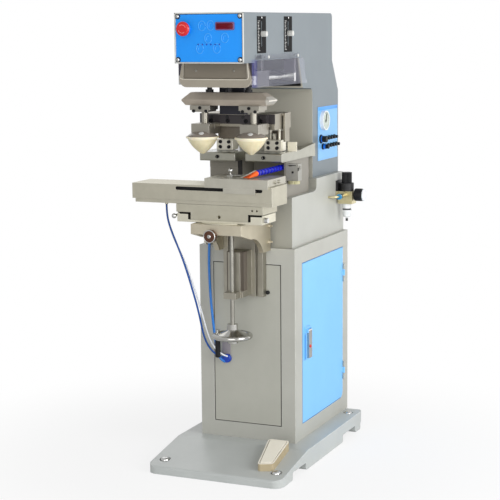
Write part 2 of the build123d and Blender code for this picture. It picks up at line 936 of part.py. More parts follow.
def cliche_table():
    z = (table_top - table_thickness, table_top)
    side = [(table_front, z[0]), (table_front, z[1]), (column_front, z[1]), (column_front, z[0])]
    body = slab_x(side, both(table_half_width), [table_round, table_round, 0, 0])
    web = [
        (table_web_front, z[0]), (table_web_front, z[1]), (column_front, z[1] + table_web_rise),
        (column_front, z[0] - table_web_drop), (pedestal_rear, z[0]),
    ]
    for side_sign in sides:
        outer = side_sign * table_half_width
        body += slab_x(web, sorted((outer, outer - side_sign * table_web_width)))
    body -= block(table_notch, (table_front - cut, table_notch_rear), (z[0] - cut, z[1] + cut))
    screws = []
    for side_sign in sides:
        x_span, y_span = plate_spans(side_sign)
        body -= block(x_span, y_span, (table_top - plate_thickness, table_top + cut))
        seat = (side_sign * table_screw_x, table_front, (z[0] + z[1]) / 2)
        body -= screw_hole(seat, (0, -1, 0))
        screws.append(cap_screw(seat, (0, -1, 0), screw_head_radius,
                                screw_head_height / 2 + socket_depth / 2))
    save("cliche_table", body, *screws)


def cliche_plates():
    plates = []
    for side in sides:
        x_span, y_span = plate_spans(side)
        plates.append(block(x_span, y_span, (table_top - plate_thickness, table_top)))
    save("cliche_plates", *plates)


def side_stop_plate():
    plate = block(stop_x, (stop_y, stop_y + stop_thickness), (table_top, table_top + stop_height))
    foot_x = (table_half_width - stop_foot, table_half_width)
    foot = block(foot_x, (stop_y + stop_thickness, stop_y + stop_thickness + stop_foot),
                 (table_top, table_top + stop_thickness))
    save("side_stop_plate", plate + foot)


def nozzle_valve_block():
    body = block(valve_block_x, valve_block_y, valve_block_z)
    middle_x = (valve_block_x[0] + valve_block_x[1]) / 2
    middle_y = (valve_block_y[0] + valve_block_y[1]) / 2
    high = valve_block_z[1] - valve_slot
    body -= block((middle_x - valve_slot_length, middle_x),
                  (valve_block_y[0] - cut, valve_block_y[0] + valve_slot),
                  (high - valve_slot, high))
    port_z = (valve_block_z[0] + valve_block_z[1]) / 2
    body -= rod(valve_port_radius, (middle_x, valve_block_y[0] - cut, port_z),
                (middle_x, valve_block_y[0] + valve_port_depth, port_z))
    body -= rod(valve_stem_radius + running, (middle_x, middle_y, valve_block_z[0] - cut),
                (middle_x, middle_y, valve_block_z[0] + valve_stem_depth + gap))
    ball_x = valve_block_x[1] + valve_ball_radius / 2
    body += Pos(ball_x, middle_y - valve_ball_radius, valve_ball_z) * Sphere(valve_ball_radius)
    save("nozzle_valve_block", body)


def nozzle_valve_knob():
    x = (valve_block_x[0] + valve_block_x[1]) / 2
    y = (valve_block_y[0] + valve_block_y[1]) / 2
    top = valve_block_z[0] - gap
    knob = fluted(valve_knob_radius, (x, y, top), (0, 0, -1), valve_knob_height, 24)
    knob += rod(valve_stem_radius, (x, y, top), (x, y, valve_block_z[0] + valve_stem_depth))
    save("nozzle_valve_knob", knob)


def nozzle_point(share):
    """Point on the segmented nozzle's centre line."""
    spans = (nozzle_x, (pedestal_recess_rear - gap, nozzle_front), nozzle_z)
    return Vector(*[span[0] + (span[1] - span[0]) * share for span in spans])


def air_nozzle():
    hose = None
    for index in range(nozzle_segments):
        start = nozzle_point(index / nozzle_segments)
        end = nozzle_point((index + 1) / nozzle_segments)
        shoulder = start + (end - start) * 0.7
        segment = rod(nozzle_hose_radius, start, shoulder) + rod(nozzle_neck_radius, shoulder, end)
        hose = segment if hose is None else hose + segment
    mouth = nozzle_point(1)
    tip = Vector(*nozzle_tip)
    direction = tip - mouth
    root = Plane(origin=mouth, x_dir=(0, 0, 1), z_dir=mouth - nozzle_point(0))
    lip = Plane(origin=tip, x_dir=(0, 0, 1), z_dir=direction)
    cone = loft([root * Rectangle(nozzle_neck_radius * 2, nozzle_neck_radius * 2),
                 lip * Rectangle(nozzle_tip_height, nozzle_tip_width)], ruled=True)
    save("air_nozzle", hose, cone)


def head_outline():
    """Side outline of the column and head, in (Y, Z)."""
    points = [
        (column_front, neck_top), (column_front, throat_top), (window_foot_rear, window_foot),
        (window_rear, head_bottom), (head_front, head_bottom), (head_front, head_top),
        (head_top_rear, head_top),
        (head_top_rear, head_slope_top), (cabinet_depth, head_slope_bottom), (cabinet_depth, neck_top),
    ]
    radii = [0, throat_round, head_edge_round, 0, 0, head_edge_round, head_rear_round, head_rear_round,
             head_rear_round, 0]
    return points, radii


def head_cavity():
    """Side outline of the head's and column's inside, in (Y, Z)."""
    wall = frame_wall
    return [
        (head_front + wall, head_bottom - cut), (window_rear - wall, head_bottom - cut),
        (window_foot_rear - wall, window_foot + wall), (column_front + wall, window_foot + wall),
        (column_front + wall, neck_top - cut), (cabinet_depth - wall, neck_top - cut),
        (cabinet_depth - wall, head_slope_bottom - wall / 2),
        (head_top_rear - wall, head_slope_top - wall / 2),
        (head_top_rear - wall, head_top - wall), (head_front + wall, head_top - wall),
    ]


def stroke_slot(y, x):
    """Vertical slot with round ends, cut through along X."""
    half = stroke_slot_width / 2
    slot = rectangle((y - half, y + half), stroke_slot_z)
    return slab_x(slot, x, half * 0.99)


def head_frame():
    points, radii = head_outline()
    body = slab_x(points, both(column_half_width), radii)
    box_z = (panel_box_bottom, head_top)
    body += block(panel_box_x, (panel_box_front, head_front), box_z)
    body -= slab_x(head_cavity(), both(column_half_width - frame_wall))
    wall = panel_box_wall
    body -= block((panel_box_x[0] + wall, panel_box_x[1] - wall),
                  (panel_box_front - cut, head_front - wall),
                  (box_z[0] + wall, box_z[1] - wall))
    x = (column_half_width - frame_wall - cut, column_half_width + cut)
    for y in stroke_slot_y:
        body -= stroke_slot(y, x)
    save("head_frame", body)


def control_spans():
    """X and Z spans of the control panel plate."""
    x = (panel_box_x[0] + control_margin, panel_box_x[1] - control_margin)
    z = (panel_box_bottom + control_margin, head_top - control_margin)
    return x, z


def control_panel_plate():
    x, z = control_spans()
    front = panel_box_front - control_thickness
    plate = block(x, (front, panel_box_front), z)
    hole = estop_stem_radius + gap
    plate -= rod(hole, (estop_x, front - cut, estop_z), (estop_x, panel_box_front + cut, estop_z))
    collar = rod(estop_collar_radius, (estop_x, front - estop_collar, estop_z), (estop_x, front, estop_z))
    collar -= rod(hole, (estop_x, front - estop_collar - cut, estop_z), (estop_x, front + cut, estop_z))
    display = block(display_x, (front - display_height, front), display_z)
    screws = []
    for screw_x in (x[0] + control_screw_inset, x[1] - control_screw_inset):
        for screw_z in (z[0] + control_screw_inset, z[1] - control_screw_inset):
            screws.append(rod(control_screw_radius, (screw_x, front - control_screw_height, screw_z),
                              (screw_x, front, screw_z)))
    save("control_panel_plate", plate, collar, display, *screws)


def estop_button():
    front = panel_box_front - control_thickness
    rear = front - estop_stem
    cap = rod(estop_radius, (estop_x, rear, estop_z), (estop_x, rear - estop_cap, estop_z))
    cap = fillet(cap.edges().group_by(Axis.Y)[0], estop_dome)
    stem = rod(estop_stem_radius, (estop_x, rear, estop_z), (estop_x, rear + estop_depth, estop_z))
    save("estop_button", cap + stem)


def chin_points(inset):
    """Chin cover outline in (X, Z), drawn in by an inset."""
    half = chin_half_width - inset
    top_half = chin_top_half_width - inset
    return [
        (-top_half, head_bottom), (-half, chin_widest), (-half, chin_bottom + inset),
        (half, chin_bottom + inset),
        (half, chin_widest), (top_half, head_bottom),
    ]


def chin_cover():
    y = (head_front, head_front + chin_depth)
    body = slab_y(chin_points(0), y, [0, chin_corner / 4, chin_corner, chin_corner, chin_corner / 4, 0])
    top_half = chin_top_half_width - chin_rim
    half = chin_half_width - chin_rim - (chin_half_width - chin_top_half_width) * 0.7
    recess = [(-top_half, head_bottom), (-half, chin_widest), (half, chin_widest), (top_half, head_bottom)]
    body -= slab_y([(x, z + (cut if z == head_bottom else 0)) for x, z in recess],
                   (y[0] - cut, y[0] + chin_recess))
    front = y[0] + chin_recess
    plate_points = [(x * 0.985, z + (chin_rim / 2 if z == chin_widest else -chin_rim / 2)) for x,
                    z in recess]
    plate = slab_y(plate_points, (front - chin_plate_thickness, front))
    screws = []
    for side in sides:
        seat = front - chin_plate_thickness
        screws.append(rod(screw_radius, (side * chin_screw_x, seat - chin_plate_thickness, chin_screw_z),
                          (side * chin_screw_x, seat, chin_screw_z)))
    save("chin_cover", body, plate, *screws)


def scale_plates():
    x = (column_half_width, column_half_width + scale_thickness)
    pieces = []
    for span, slot_y in zip(scale_y, stroke_slot_y):
        pieces.append(slab_x(rectangle(span, scale_z), x) - stroke_slot(slot_y, (x[0] - cut, x[1] + cut)))
        pieces.append(rod(screw_radius / 1.3, (x[1], slot_y, scale_screw_z),
                          (x[1] + scale_thickness, slot_y, scale_screw_z)))
    save("scale_plates", *pieces)


def stroke_knob(name, y):
    """Thumb knob on a carrier that slides in a head slot."""
    z = (stroke_slot_z[0] + stroke_slot_z[1]) / 2
    outer = column_half_width + scale_thickness + gap
    inner = column_half_width - frame_wall - gap
    shank_radius = stroke_slot_width / 2 - gap
    carrier = block((inner - stroke_slot_width, inner), (y - stroke_slot_width, y + stroke_slot_width),
                    (z - stroke_slot_width, z + stroke_slot_width))
    washer = rod(stroke_slot_width, (outer, y, z), (outer + scale_thickness * 2, y, z))
    neck = rod(shank_radius, (inner, y, z), (outer + stroke_slot_width, y, z))
    head = fluted(stroke_slot_width, (outer + stroke_slot_width / 2, y, z), (1, 0, 0),
                  stroke_slot_width * 1.5, 20)
    save(name, carrier + washer + neck + head)


def side_guard():
    roof = head_bottom + guard_thickness
    face = [(guard_front, guard_bottom), (guard_front, roof), (window_rear, roof),
            (guard_rear_foot, guard_bottom)]
    body = slab_x(face, (guard_x - guard_thickness, guard_x))
    across = (column_half_width, guard_x)
    body += block(across, (guard_front, guard_front + guard_thickness), (guard_bottom, roof))
    body += block(across, (guard_front, window_rear), (head_bottom, roof))
    seat_x = column_half_width + guard_thickness
    body += block((column_half_width, seat_x), (guard_flange_front, window_rear),
                  (head_bottom, guard_flange_top))
    screws = []
    z = (roof + guard_flange_top) / 2
    for y in guard_screw_y:
        screws.append(rod(screw_radius, (seat_x, y, z), (seat_x + guard_thickness, y, z)))
    save("side_guard", body, *screws)


def carriage_rails():
    inside = both(column_half_width - frame_wall)
    front_y = (head_front + chin_depth, head_front + chin_depth + rail_bar_front)
    bars = block(inside, front_y, rail_bar_z) + block(inside, rail_bar_rear_y, rail_bar_z)
    for side in sides:
        bars += rod(rail_radius, (side * rail_x, front_y[0], rail_z),
                    (side * rail_x, rail_bar_rear_y[1], rail_z))
    window = (rail_z + rail_radius * 2, rail_bar_z[1])
    bars -= block(both(rail_x), (rail_bar_rear_y[0] - cut, rail_bar_rear_y[1] + cut),
                  (window[0], window[1] + cut))
    save("carriage_rails", bars)


def carriage_block():
    body = block(both(carriage_half_width), carriage_y, carriage_z)
    body += block(both(pad_cylinder_half_width), pad_cylinder_y, (carriage_z[1], pad_cylinder_top))
    lug_y = (carriage_y[1] - drive_lug_depth, carriage_y[1])
    body += block((drive_x - drive_lug_half_width, drive_x + drive_lug_half_width), lug_y,
                  (carriage_z[1], drive_lug_top))
    body += rod(drive_rod_radius, (drive_x, carriage_y[1], drive_z), (drive_x, drive_rod_rear, drive_z))
    for side in sides:
        body -= rod(rail_radius + running, (side * rail_x, carriage_y[0] - cut, rail_z),
                    (side * rail_x, carriage_y[1] + cut, rail_z))
        body -= rod(post_radius + running, (side * post_x, post_y, carriage_z[0] - cut),
                    (side * post_x, post_y, carriage_z[1] + cut))
    body -= rod(piston_rod_radius + running, (0, post_y, carriage_z[0] - cut),
                (0, post_y, pad_cylinder_bore_top))
    save("carriage_block", body)


def carriage_cylinder():
    y = drive_body_y
    body = rod(drive_body_radius, (drive_x, y[0], drive_z), (drive_x, y[1], drive_z))
    half = drive_bracket_half_width
    body += block((drive_x - half, drive_x + half), drive_bracket_y, (drive_z, head_top - frame_wall))
    body -= rod(drive_rod_radius + running, (drive_x, y[0] - cut, drive_z),
                (drive_x, drive_bore_rear, drive_z))
    save("carriage_cylinder", body)


def bar_section(half, y, z):
    """Rectangle across the pad bar at one height."""
    return Pos(0, (y[0] + y[1]) / 2, z) * Rectangle(2 * half, y[1] - y[0])


def pad_bar():
    bottom_y = (bar_y[0] + bar_bottom_inset_y, bar_y[1] - bar_bottom_inset_y)
    low = loft([bar_section(bar_half_width - bar_bottom_inset, bottom_y, bar_z[0]),
                bar_section(bar_half_width, bar_y, bar_z[1])], ruled=True)
    rim_plate = block(both(bar_half_width), bar_y, (bar_z[1], bar_z[2]))
    roof = loft([bar_section(bar_half_width, bar_y, bar_z[2]),
                 bar_section(bar_top_half_width, bar_top_y, bar_z[3])], ruled=True)
    body = low + rim_plate + roof
    for side in sides:
        x = side * post_x
        body += rod(post_radius, (x, post_y, bar_z[3]), (x, post_y, post_top))
        body += rod(post_collar_radius, (x, post_y, bar_z[3]), (x, post_y, bar_z[3] + post_collar))
    body += rod(piston_rod_radius, (0, post_y, bar_z[3]), (0, post_y, piston_rod_top))
    save("pad_bar", body)


def pad_holder(side):
    """Hanger block, stem, lower block and pad adapter of one side."""
    centre = side * pad_x
    hanger = block((centre - hanger_half_width, centre + hanger_half_width), hanger_y,
                   (hanger_bottom, bar_z[0]))
    hole_z = (hanger_bottom + bar_z[0]) / 2
    hanger -= rod(hanger_hole_radius, (centre, hanger_y[0] - cut, hole_z),
                  (centre, hanger_y[0] + screw_depth, hole_z))
    inner = hanger_half_width - hanger_flange_inset
    flange_z = (hanger_bottom - hanger_flange, hanger_bottom)
    hanger += block((centre - inner, centre + inner), hanger_y, flange_z)
    stem = rod(stem_radius, (centre, stem_y, holder_z[1]), (centre, stem_y, flange_z[0]))
    lower = block((centre - holder_half_width, centre + holder_half_width), holder_y, holder_z)
    slot_z = (holder_z[0] + holder_z[1]) / 2
    lower -= block((centre - holder_half_width - cut, centre + holder_half_width + cut),
                   (stem_y - holder_slot / 2, stem_y + holder_slot / 2), (slot_z, holder_z[1] + cut))
    adapter = rod(adapter_radius, (centre, pad_y, pad_top), (centre, pad_y, holder_z[0]))
    screws = []
    for place in sides:
        seat = (centre + place * hanger_screw_x, hanger_y[0], flange_z[0] + hanger_flange / 2)
        screws.append(rod(screw_radius, seat, (seat[0], hanger_y[0] - screw_head_height / 2, seat[2])))
    return [hanger + stem + lower, adapter] + screws


def pad_holders():
    save("pad_holders", *pad_holder(sides[0]), *pad_holder(sides[1]))


def silicone_pad(name, side):
    """Round pad: flange rim, bulged cone and rounded tip."""
    rim_low = pad_top - pad_rim
    shoulder = (pad_rim_radius - pad_rim_step, rim_low)
    tip_centre = pad_tip + pad_tip_radius
    joint = (pad_tip_radius * sin(pad_tip_turn), tip_centre - pad_tip_radius * cos(pad_tip_turn))
    half_turn = pad_tip_turn / 2
    tip_middle = (pad_tip_radius * sin(half_turn), tip_centre - pad_tip_radius * cos(half_turn))
    chord = Vector(shoulder[0] - joint[0], shoulder[1] - joint[1])
    belly = Vector(*joint) + chord / 2 + Vector(chord.Y, -chord.X).normalized() * pad_bulge
    with BuildSketch(Plane.XZ) as section:
        with BuildLine():
            Polyline((0, pad_tip), (0, pad_top), (pad_rim_radius, pad_top), (pad_rim_radius, rim_low),
                     shoulder)
            ThreePointArc(shoulder, (belly.X, belly.Y), joint)
            ThreePointArc(joint, tip_middle, (0, pad_tip))
        make_face()
    pad = revolve(section.sketch, Axis.Z)
    save(name, Pos(side * pad_x, pad_y, 0) * pad)


def blade_arm():
    x = drop_block_x
    body = block(x, drop_block_y, (cross_plate_z[1], carriage_z[0]))
    plate = block(both(cross_plate_half_width), cross_plate_y, cross_plate_z)
    body += plate
    screws = []
    seat_z = cross_plate_z[1] - screw_head_radius * 1.6
    for share in cross_screw_shares:
        seat = (cross_plate_half_width * share, cross_plate_y[0], seat_z)
        screws.append(rod(screw_head_radius, seat, (seat[0], seat[1] - screw_head_height / 2, seat_z)))
    for side in sides:
        arm = block(sorted((side * arm_x[0], side * arm_x[1])), (cross_plate_y[1], arm_rear), arm_z)
        body += arm
        for place in sides:
            pin_x = side * blade_x + place * blade_pin_spread
            pin_y = (blade_y[0] + blade_y[1]) / 2
            body -= rod(blade_pin_radius + running, (pin_x, pin_y, arm_z[0] - cut),
                        (pin_x, pin_y, arm_z[0] + blade_pin_depth + blade_lift + gap))
    body += block((arm_x[1], arm_plate_x[1]), arm_plate_y, (arm_z[1] - screw_depth, arm_z[1]))
    body += block(arm_plate_x, arm_plate_y, (arm_plate_bottom, arm_z[1]))
    save("blade_arm", body, *screws)


def blade_head(name, side):
    """Doctor-blade head with its guide pins, clamp screws and lift knob."""
    centre = side * blade_x
    low = table_top + gap
    body = block((centre - blade_half_width, centre + blade_half_width), blade_y,
                 (low + blade_edge, blade_top))
    edge = [(blade_y[0] + blade_edge, low), (blade_y[0] + 2 * blade_edge, low),
            (blade_y[0] + 4 * blade_edge, low + blade_edge), (blade_y[0] + blade_edge, low + blade_edge)]
    body += slab_x(edge, (centre - blade_half_width, centre + blade_half_width))
    pin_y = (blade_y[0] + blade_y[1]) / 2
    for place in sides:
        pin_x = centre + place * blade_pin_spread
        body += rod(blade_pin_radius, (pin_x, pin_y, blade_top), (pin_x, pin_y, arm_z[0] + blade_pin_depth))
    knob_z = blade_top + (arm_z[0] - blade_top - blade_lift) / 2
    post = block((centre - blade_knob_radius, centre + blade_knob_radius),
                 (pin_y - blade_knob_radius, pin_y),
                 (blade_top, knob_z + blade_knob_radius))
    body += post
    body += rod(blade_knob_radius, (centre, pin_y - blade_knob_length, knob_z), (centre, pin_y, knob_z))
    screws = []
    height = blade_top - low
    for place in sides:
        for level in (0.3, 0.75):
            seat = (centre + place * blade_half_width * blade_screw_share, blade_y[0], low + height * level)
            screws.append(rod(screw_head_radius, seat, (seat[0], seat[1] - screw_head_height / 2, seat[2])))
    save(name, body, *screws)


def shuttle_beam():
    low = cross_z[1] + gap
    body = block(beam_x, beam_y, beam_z)
    body += block((beam_x[0] + beam_step, beam_x[1]), (beam_y[0] + beam_step / 2, beam_y[1]),
                  (low, beam_z[0]))
    slot = rectangle(both(beam_slot_half_width), beam_slot_z)
    body -= slab_y(slot, (beam_y[0] - cut, beam_y[0] + beam_slot_depth),
                   (beam_slot_z[1] - beam_slot_z[0]) * 0.49)
    save("shuttle_beam", body, *beam_fittings())


def fixture_holes():
    """Centre of each fixture hole in the shuttle plate."""
    places = []
    for x in sides:
        for y in sides:
            places.append((fixture_centre[0] + x * fixture_spacing_x / 2,
                           fixture_centre[1] + y * fixture_spacing_y / 2))
    return places


def shuttle_plate():
    under = beam_z[1] + gap
    apron_rear = beam_y[0] - gap
    body = block(plate_x, plate_y, (under, plate_z[1]))
    body += block(plate_x, (plate_y[0], apron_rear), (plate_z[0], under))
    body += block(driver_x, (plate_y[0] - gap, apron_rear), (driver_z[0], plate_z[0]))
    tongue_z = (beam_slot_z[0] + gap * 2, driver_z[1] + gap * 2)
    body += block((driver_x[0] + driver_tongue_inset, driver_x[1] - driver_tongue_inset),
                  (apron_rear, apron_rear + driver_tongue_depth), tongue_z)
    for x, y in fixture_holes():
        body -= rod(fixture_hole_radius, (x, y, plate_z[1] - fixture_hole_depth), (x, y, plate_z[1] + cut))
    screws = []
    middle = (plate_y[0] + plate_y[1]) / 2
    for side in sides:
        seat = (plate_x[1], middle + side * plate_end_screw_spread, (under + plate_z[1]) / 2)
        body -= screw_hole(seat, (1, 0, 0))
        screws.append(cap_screw(seat, (1, 0, 0), screw_head_radius, screw_head_height))
    save("shuttle_plate", body, *screws)


def fixture_clamp():
    top = plate_z[1]
    foot = block((clamp_x - clamp_foot_half_width, clamp_x + clamp_foot_half_width),
                 (clamp_y - clamp_foot_half_width, clamp_y + clamp_foot_half_width),
                 (top, top + clamp_foot))
    leaf = block((clamp_x, clamp_x + clamp_leaf_length),
                 (clamp_y - clamp_leaf_half_width, clamp_y + clamp_leaf_half_width),
                 (top + clamp_foot, top + clamp_foot + clamp_leaf))
    stem = rod(clamp_stem_radius, (clamp_x, clamp_y, top + clamp_foot + clamp_leaf),
               (clamp_x, clamp_y, clamp_ball_z))
    ball = Pos(clamp_x, clamp_y, clamp_ball_z) * Sphere(clamp_ball_radius)
    save("fixture_clamp", foot + leaf + stem + ball)


def cross_slide():
    body = block(both(cross_half_width), cross_y, cross_z)
    body += block(both(tongue_half_width), cross_y, (lower_floor + gap, cross_z[0]))
    feed_z = (lower_floor + cross_z[0]) / 2
    body -= rod(feed_hole_radius, (0, cross_y[0] - cut, feed_z), (0, cross_y[0] + feed_hole_depth, feed_z))
    side_z = (cross_z[0] + cross_z[1]) / 2
    for x in side_hole_x:
        body -= rod(side_hole_radius, (x, cross_y[0] - cut, side_z),
                    (x, cross_y[0] + feed_hole_depth, side_z))
    save("cross_slide", body)


def lower_slide():
    body = block(both(lower_half_width), lower_y, lower_z)
    groove = tongue_half_width + lower_gib_gap
    body -= block(both(groove), (lower_y[0] - cut, lower_y[1] + cut), (lower_floor, lower_z[1] + cut))
    gib_x = (tongue_half_width + gap, groove)
    gib_y = (lower_y[0] + lower_gib_gap, lower_y[1] - lower_gib_gap)
    for side in sides:
        body += block(sorted((side * gib_x[0], side * gib_x[1])), gib_y, (lower_floor, lower_z[1]))
    body += rod(swivel_disc_radius, (0, swivel_y, knee_top + gap), (0, swivel_y, lower_z[0]))
    pivot_y, pivot_z = lever_pivot
    body += rod(lever_pin_radius, (-lower_half_width - lever_pin_depth, pivot_y, pivot_z),
                (-lower_half_width, pivot_y, pivot_z))
    body += rod(lever_pin_radius, (lower_half_width, slide_knob_y, slide_knob_z),
                (lower_half_width + lever_pin_depth, slide_knob_y, slide_knob_z))
    save("lower_slide", body)


def slide_clamp_lever():
    near = -lower_half_width - gap
    far = near - lever_hub_length
    pivot_y, pivot_z = lever_pivot
    middle = (near + far) / 2
    ball_x = far - lever_arm_radius
    body = rod(lever_hub_radius, (near, pivot_y, pivot_z),
               (far - gap - running - lever_arm_radius, pivot_y, pivot_z))
    body += rod(lever_arm_radius, (middle, pivot_y, pivot_z), (ball_x, lever_ball[0], lever_ball[1]))
    body += Pos(ball_x, lever_ball[0], lever_ball[1]) * Sphere(lever_ball_radius)
    body -= rod(lever_pin_radius + running, (near + cut, pivot_y, pivot_z),
                (-lower_half_width - lever_pin_depth - gap, pivot_y, pivot_z))
    save("slide_clamp_lever", body)


def slide_clamp_knob():
    near = lower_half_width + gap
    body = fluted(slide_knob_radius, (near, slide_knob_y, slide_knob_z), (1, 0, 0), slide_knob_length, 16)
    body -= rod(lever_pin_radius + running, (near - cut, slide_knob_y, slide_knob_z),
                (lower_half_width + lever_pin_depth + gap, slide_knob_y, slide_knob_z))
    save("slide_clamp_knob", body)


def knee_cheek_face():
    """Side outline of the knee's cheeks, in (Y, Z), with its curved lower edge."""
    start = (knee_arch_y[0], knee_arch_z[0])
    end = (knee_arch_y[1], knee_arch_z[1])
    middle = ((start[0] + end[0]) / 2 + knee_arch_sag / 2, (start[1] + end[1]) / 2 + knee_arch_sag)
    with BuildSketch() as section:
        with BuildLine():
            Polyline((knee_rear, knee_low), (knee_rear, knee_top), (knee_front, knee_top),
                     (knee_front, knee_flange_bottom), start)
            ThreePointArc(start, middle, end)
            Line(end, (knee_rear, knee_low))
        make_face()
    return section.sketch


def knee_casting():
    plane = Plane(origin=(0, 0, 0), x_dir=(0, 1, 0), z_dir=(1, 0, 0))
    body = None
    for side in sides:
        x = min(side * knee_half_width, side * (knee_half_width - knee_cheek))
        cheek = Pos(x, 0, 0) * extrude(plane * knee_cheek_face(), knee_cheek)
        body = cheek if body is None else body + cheek
    plate_rear = -guide_thickness - guide_relief - gap
    body += block(both(knee_half_width), (knee_front, plate_rear), (knee_top - knee_plate, knee_top))
    body += block(both(knee_half_width), (knee_front, knee_front + knee_flange_depth),
                  (knee_flange_bottom, knee_top))
    body += rod(knee_boss_radius, (0, screw_y, knee_boss_bottom), (0, screw_y, knee_top - knee_plate))
    body -= rod(lead_radius + running, (0, screw_y, knee_boss_bottom - cut), (0, screw_y, lead_top + gap))
    body += block(gib_block_x, gib_block_y, gib_block_z)
    body += rod(clamp_boss_radius, (knee_knob_x, knee_front, knee_knob_z),
                (knee_knob_x, knee_front + knee_flange_depth, knee_knob_z))
    body -= rod(knee_knob_shank + running, (knee_knob_x, knee_front - cut, knee_knob_z),
                (knee_knob_x, knee_front + screw_depth * 2 + gap, knee_knob_z))
    screws = []
    for z in gib_screw_z:
        seat = (knee_half_width, gib_screw_y, z)
        stud = rod(screw_radius, seat, (knee_half_width + gib_screw_out, gib_screw_y, z))
        nut = extrude(Plane(origin=seat, z_dir=(1, 0, 0)) * RegularPolygon(screw_head_radius * 1.3, 6),
                      screw_head_height)
        screws.append(stud + nut)
    save("knee_casting", body, *screws)


def knee_clamp_knob():
    front = knee_front - gap
    head = rod(knee_knob_radius, (knee_knob_x, front - knee_knob_length, knee_knob_z),
               (knee_knob_x, front, knee_knob_z))
    head = fillet(head.edges().group_by(Axis.Y)[0], knee_knob_length / 4)
    cap = rod(knee_knob_shank * 1.1, (knee_knob_x, front - knee_knob_length - socket_depth, knee_knob_z),
              (knee_knob_x, front, knee_knob_z))
    shank = rod(knee_knob_shank, (knee_knob_x, front, knee_knob_z),
                (knee_knob_x, knee_front + screw_depth * 2, knee_knob_z))
    save("knee_clamp_knob", head + cap + shank)


def knee_guide():
    y = (-guide_thickness - guide_relief, -guide_relief)
    body = block(both(guide_half_width), y, (guide_bottom, guide_top))
    body += block(both(guide_half_width), (-guide_relief, 0), (panel_top + panel_gap, cabinet_top))
    body += block(both(guide_half_width), (-guide_relief, neck_setback), (cabinet_top, guide_top))
    body += block(both(guide_core_half_width), (guide_core_front, y[0]), (lug_z[0], guide_core_top))
    for side in sides:
        groove = side * guide_groove_x
        body -= block((groove - guide_groove / 2, groove + guide_groove / 2),
                      (y[0] - cut, y[0] + guide_groove_depth),
                      (guide_bottom - cut, guide_top + cut))
        edge = side * guide_core_half_width
        body -= block(sorted((edge, edge - side * guide_groove)),
                      (guide_core_front - cut, guide_core_front + guide_groove_depth),
                      (lug_z[1], guide_top + cut))
    body += block(both(lug_half_width), (lug_front, guide_core_front), lug_z)
    body -= rod(lead_radius + running, (0, screw_y, lug_z[0] - cut), (0, screw_y, lug_z[1] + cut))
    save("knee_guide", body)


def lead_screw():
    collar_top = knee_boss_bottom - gap
    body = rod(lead_radius, (0, screw_y, wheel_hub_z[1]), (0, screw_y, lead_top))
    body += rod(lead_collar_radius, (0, screw_y, collar_top - lead_collar), (0, screw_y, collar_top))
    save("lead_screw", body)


def handwheel():
    inner = wheel_radius - wheel_rim_radius
    rim_ring = Pos(0, screw_y, wheel_z) * Torus(inner, wheel_rim_radius)
    hub = rod(wheel_hub_radius, (0, screw_y, wheel_hub_z[0]), (0, screw_y, wheel_hub_z[1]))
    cone = Cone(inner, wheel_hub_radius, wheel_dish)
    dish = Pos(0, screw_y, wheel_z + wheel_dish / 2) * cone - Pos(0, screw_y,
                                                                  wheel_z + wheel_dish / 2 - wheel_web) * cone
    spindle_x = -wheel_handle_offset
    nut_top = wheel_z + wheel_dish / 2 + wheel_nut
    spindle = rod(wheel_spindle_radius, (spindle_x, screw_y, wheel_handle_z[0] + cut),
                  (spindle_x, screw_y, nut_top))
    nut = rod(wheel_nut_radius, (spindle_x, screw_y, wheel_z), (spindle_x, screw_y, nut_top))
    save("handwheel", rim_ring + hub + dish + spindle + nut)


def handwheel_handle():
    x = -wheel_handle_offset
    top = wheel_handle_z[1] - gap
    body = rod(wheel_handle_radius, (x, screw_y, wheel_handle_z[0]), (x, screw_y, top))
    body = fillet(body.edges().group_by(Axis.Z)[0], wheel_handle_radius / 2)
    body -= rod(wheel_spindle_radius + running, (x, screw_y, wheel_handle_z[0] + cut - gap),
                (x, screw_y, top + cut))
    save("handwheel_handle", body)


def air_panel():
    x = (column_half_width, column_half_width + air_panel_thickness)
    save("air_panel", block(x, air_panel_y, air_panel_z))


def gauge(centre, radius, depth, bezel, face):
    """Round gauge that faces +X: a drum with a recessed dial."""
    x, y, z = centre
    drum = rod(radius, (x, y, z), (x + depth, y, z))
    drum -= rod(radius - bezel, (x + depth - face, y, z), (x + depth + cut, y, z))
    return drum


def pressure_gauges():
    panel_face = column_half_width + air_panel_thickness
    large = gauge((panel_face, gauge_y, gauge_z), gauge_radius, gauge_depth, gauge_bezel, gauge_face)
    depth = side_gauge_x[1] - side_gauge_x[0]
    small = gauge((side_gauge_x[0], frl_y, side_gauge_z), side_gauge_radius, depth, gauge_bezel / 2,
                  gauge_face)
    stem = rod(side_gauge_stem, (frl_x[1], frl_y, side_gauge_z), (side_gauge_x[0], frl_y, side_gauge_z))
    save("pressure_gauges", large, small + stem)


def fitting(y, z, radius, length):
    """Push-in fitting on the air panel: a nut and a sleeve."""
    x = column_half_width + air_panel_thickness
    nut = extrude(Plane(origin=(x, y, z), z_dir=(1, 0, 0)) * RegularPolygon(radius * 1.4, 6), fitting_nut)
    return nut + rod(radius, (x, y, z), (x + length, y, z))


def flow_valves():
    pieces = []
    for (start, z), first_radius in ((upper_row, valve_cap_radius), (lower_row, lower_knob_radius)):
        pieces.append(fitting(start, z, first_radius, valve_cap_length))
        count = int((air_panel_y[1] - fitting_pitch / 2 - start) / fitting_pitch)
        for index in range(count):
            pieces.append(fitting(start + (index + 1) * fitting_pitch, z, fitting_radius, fitting_length))
    save("flow_valves", *pieces)


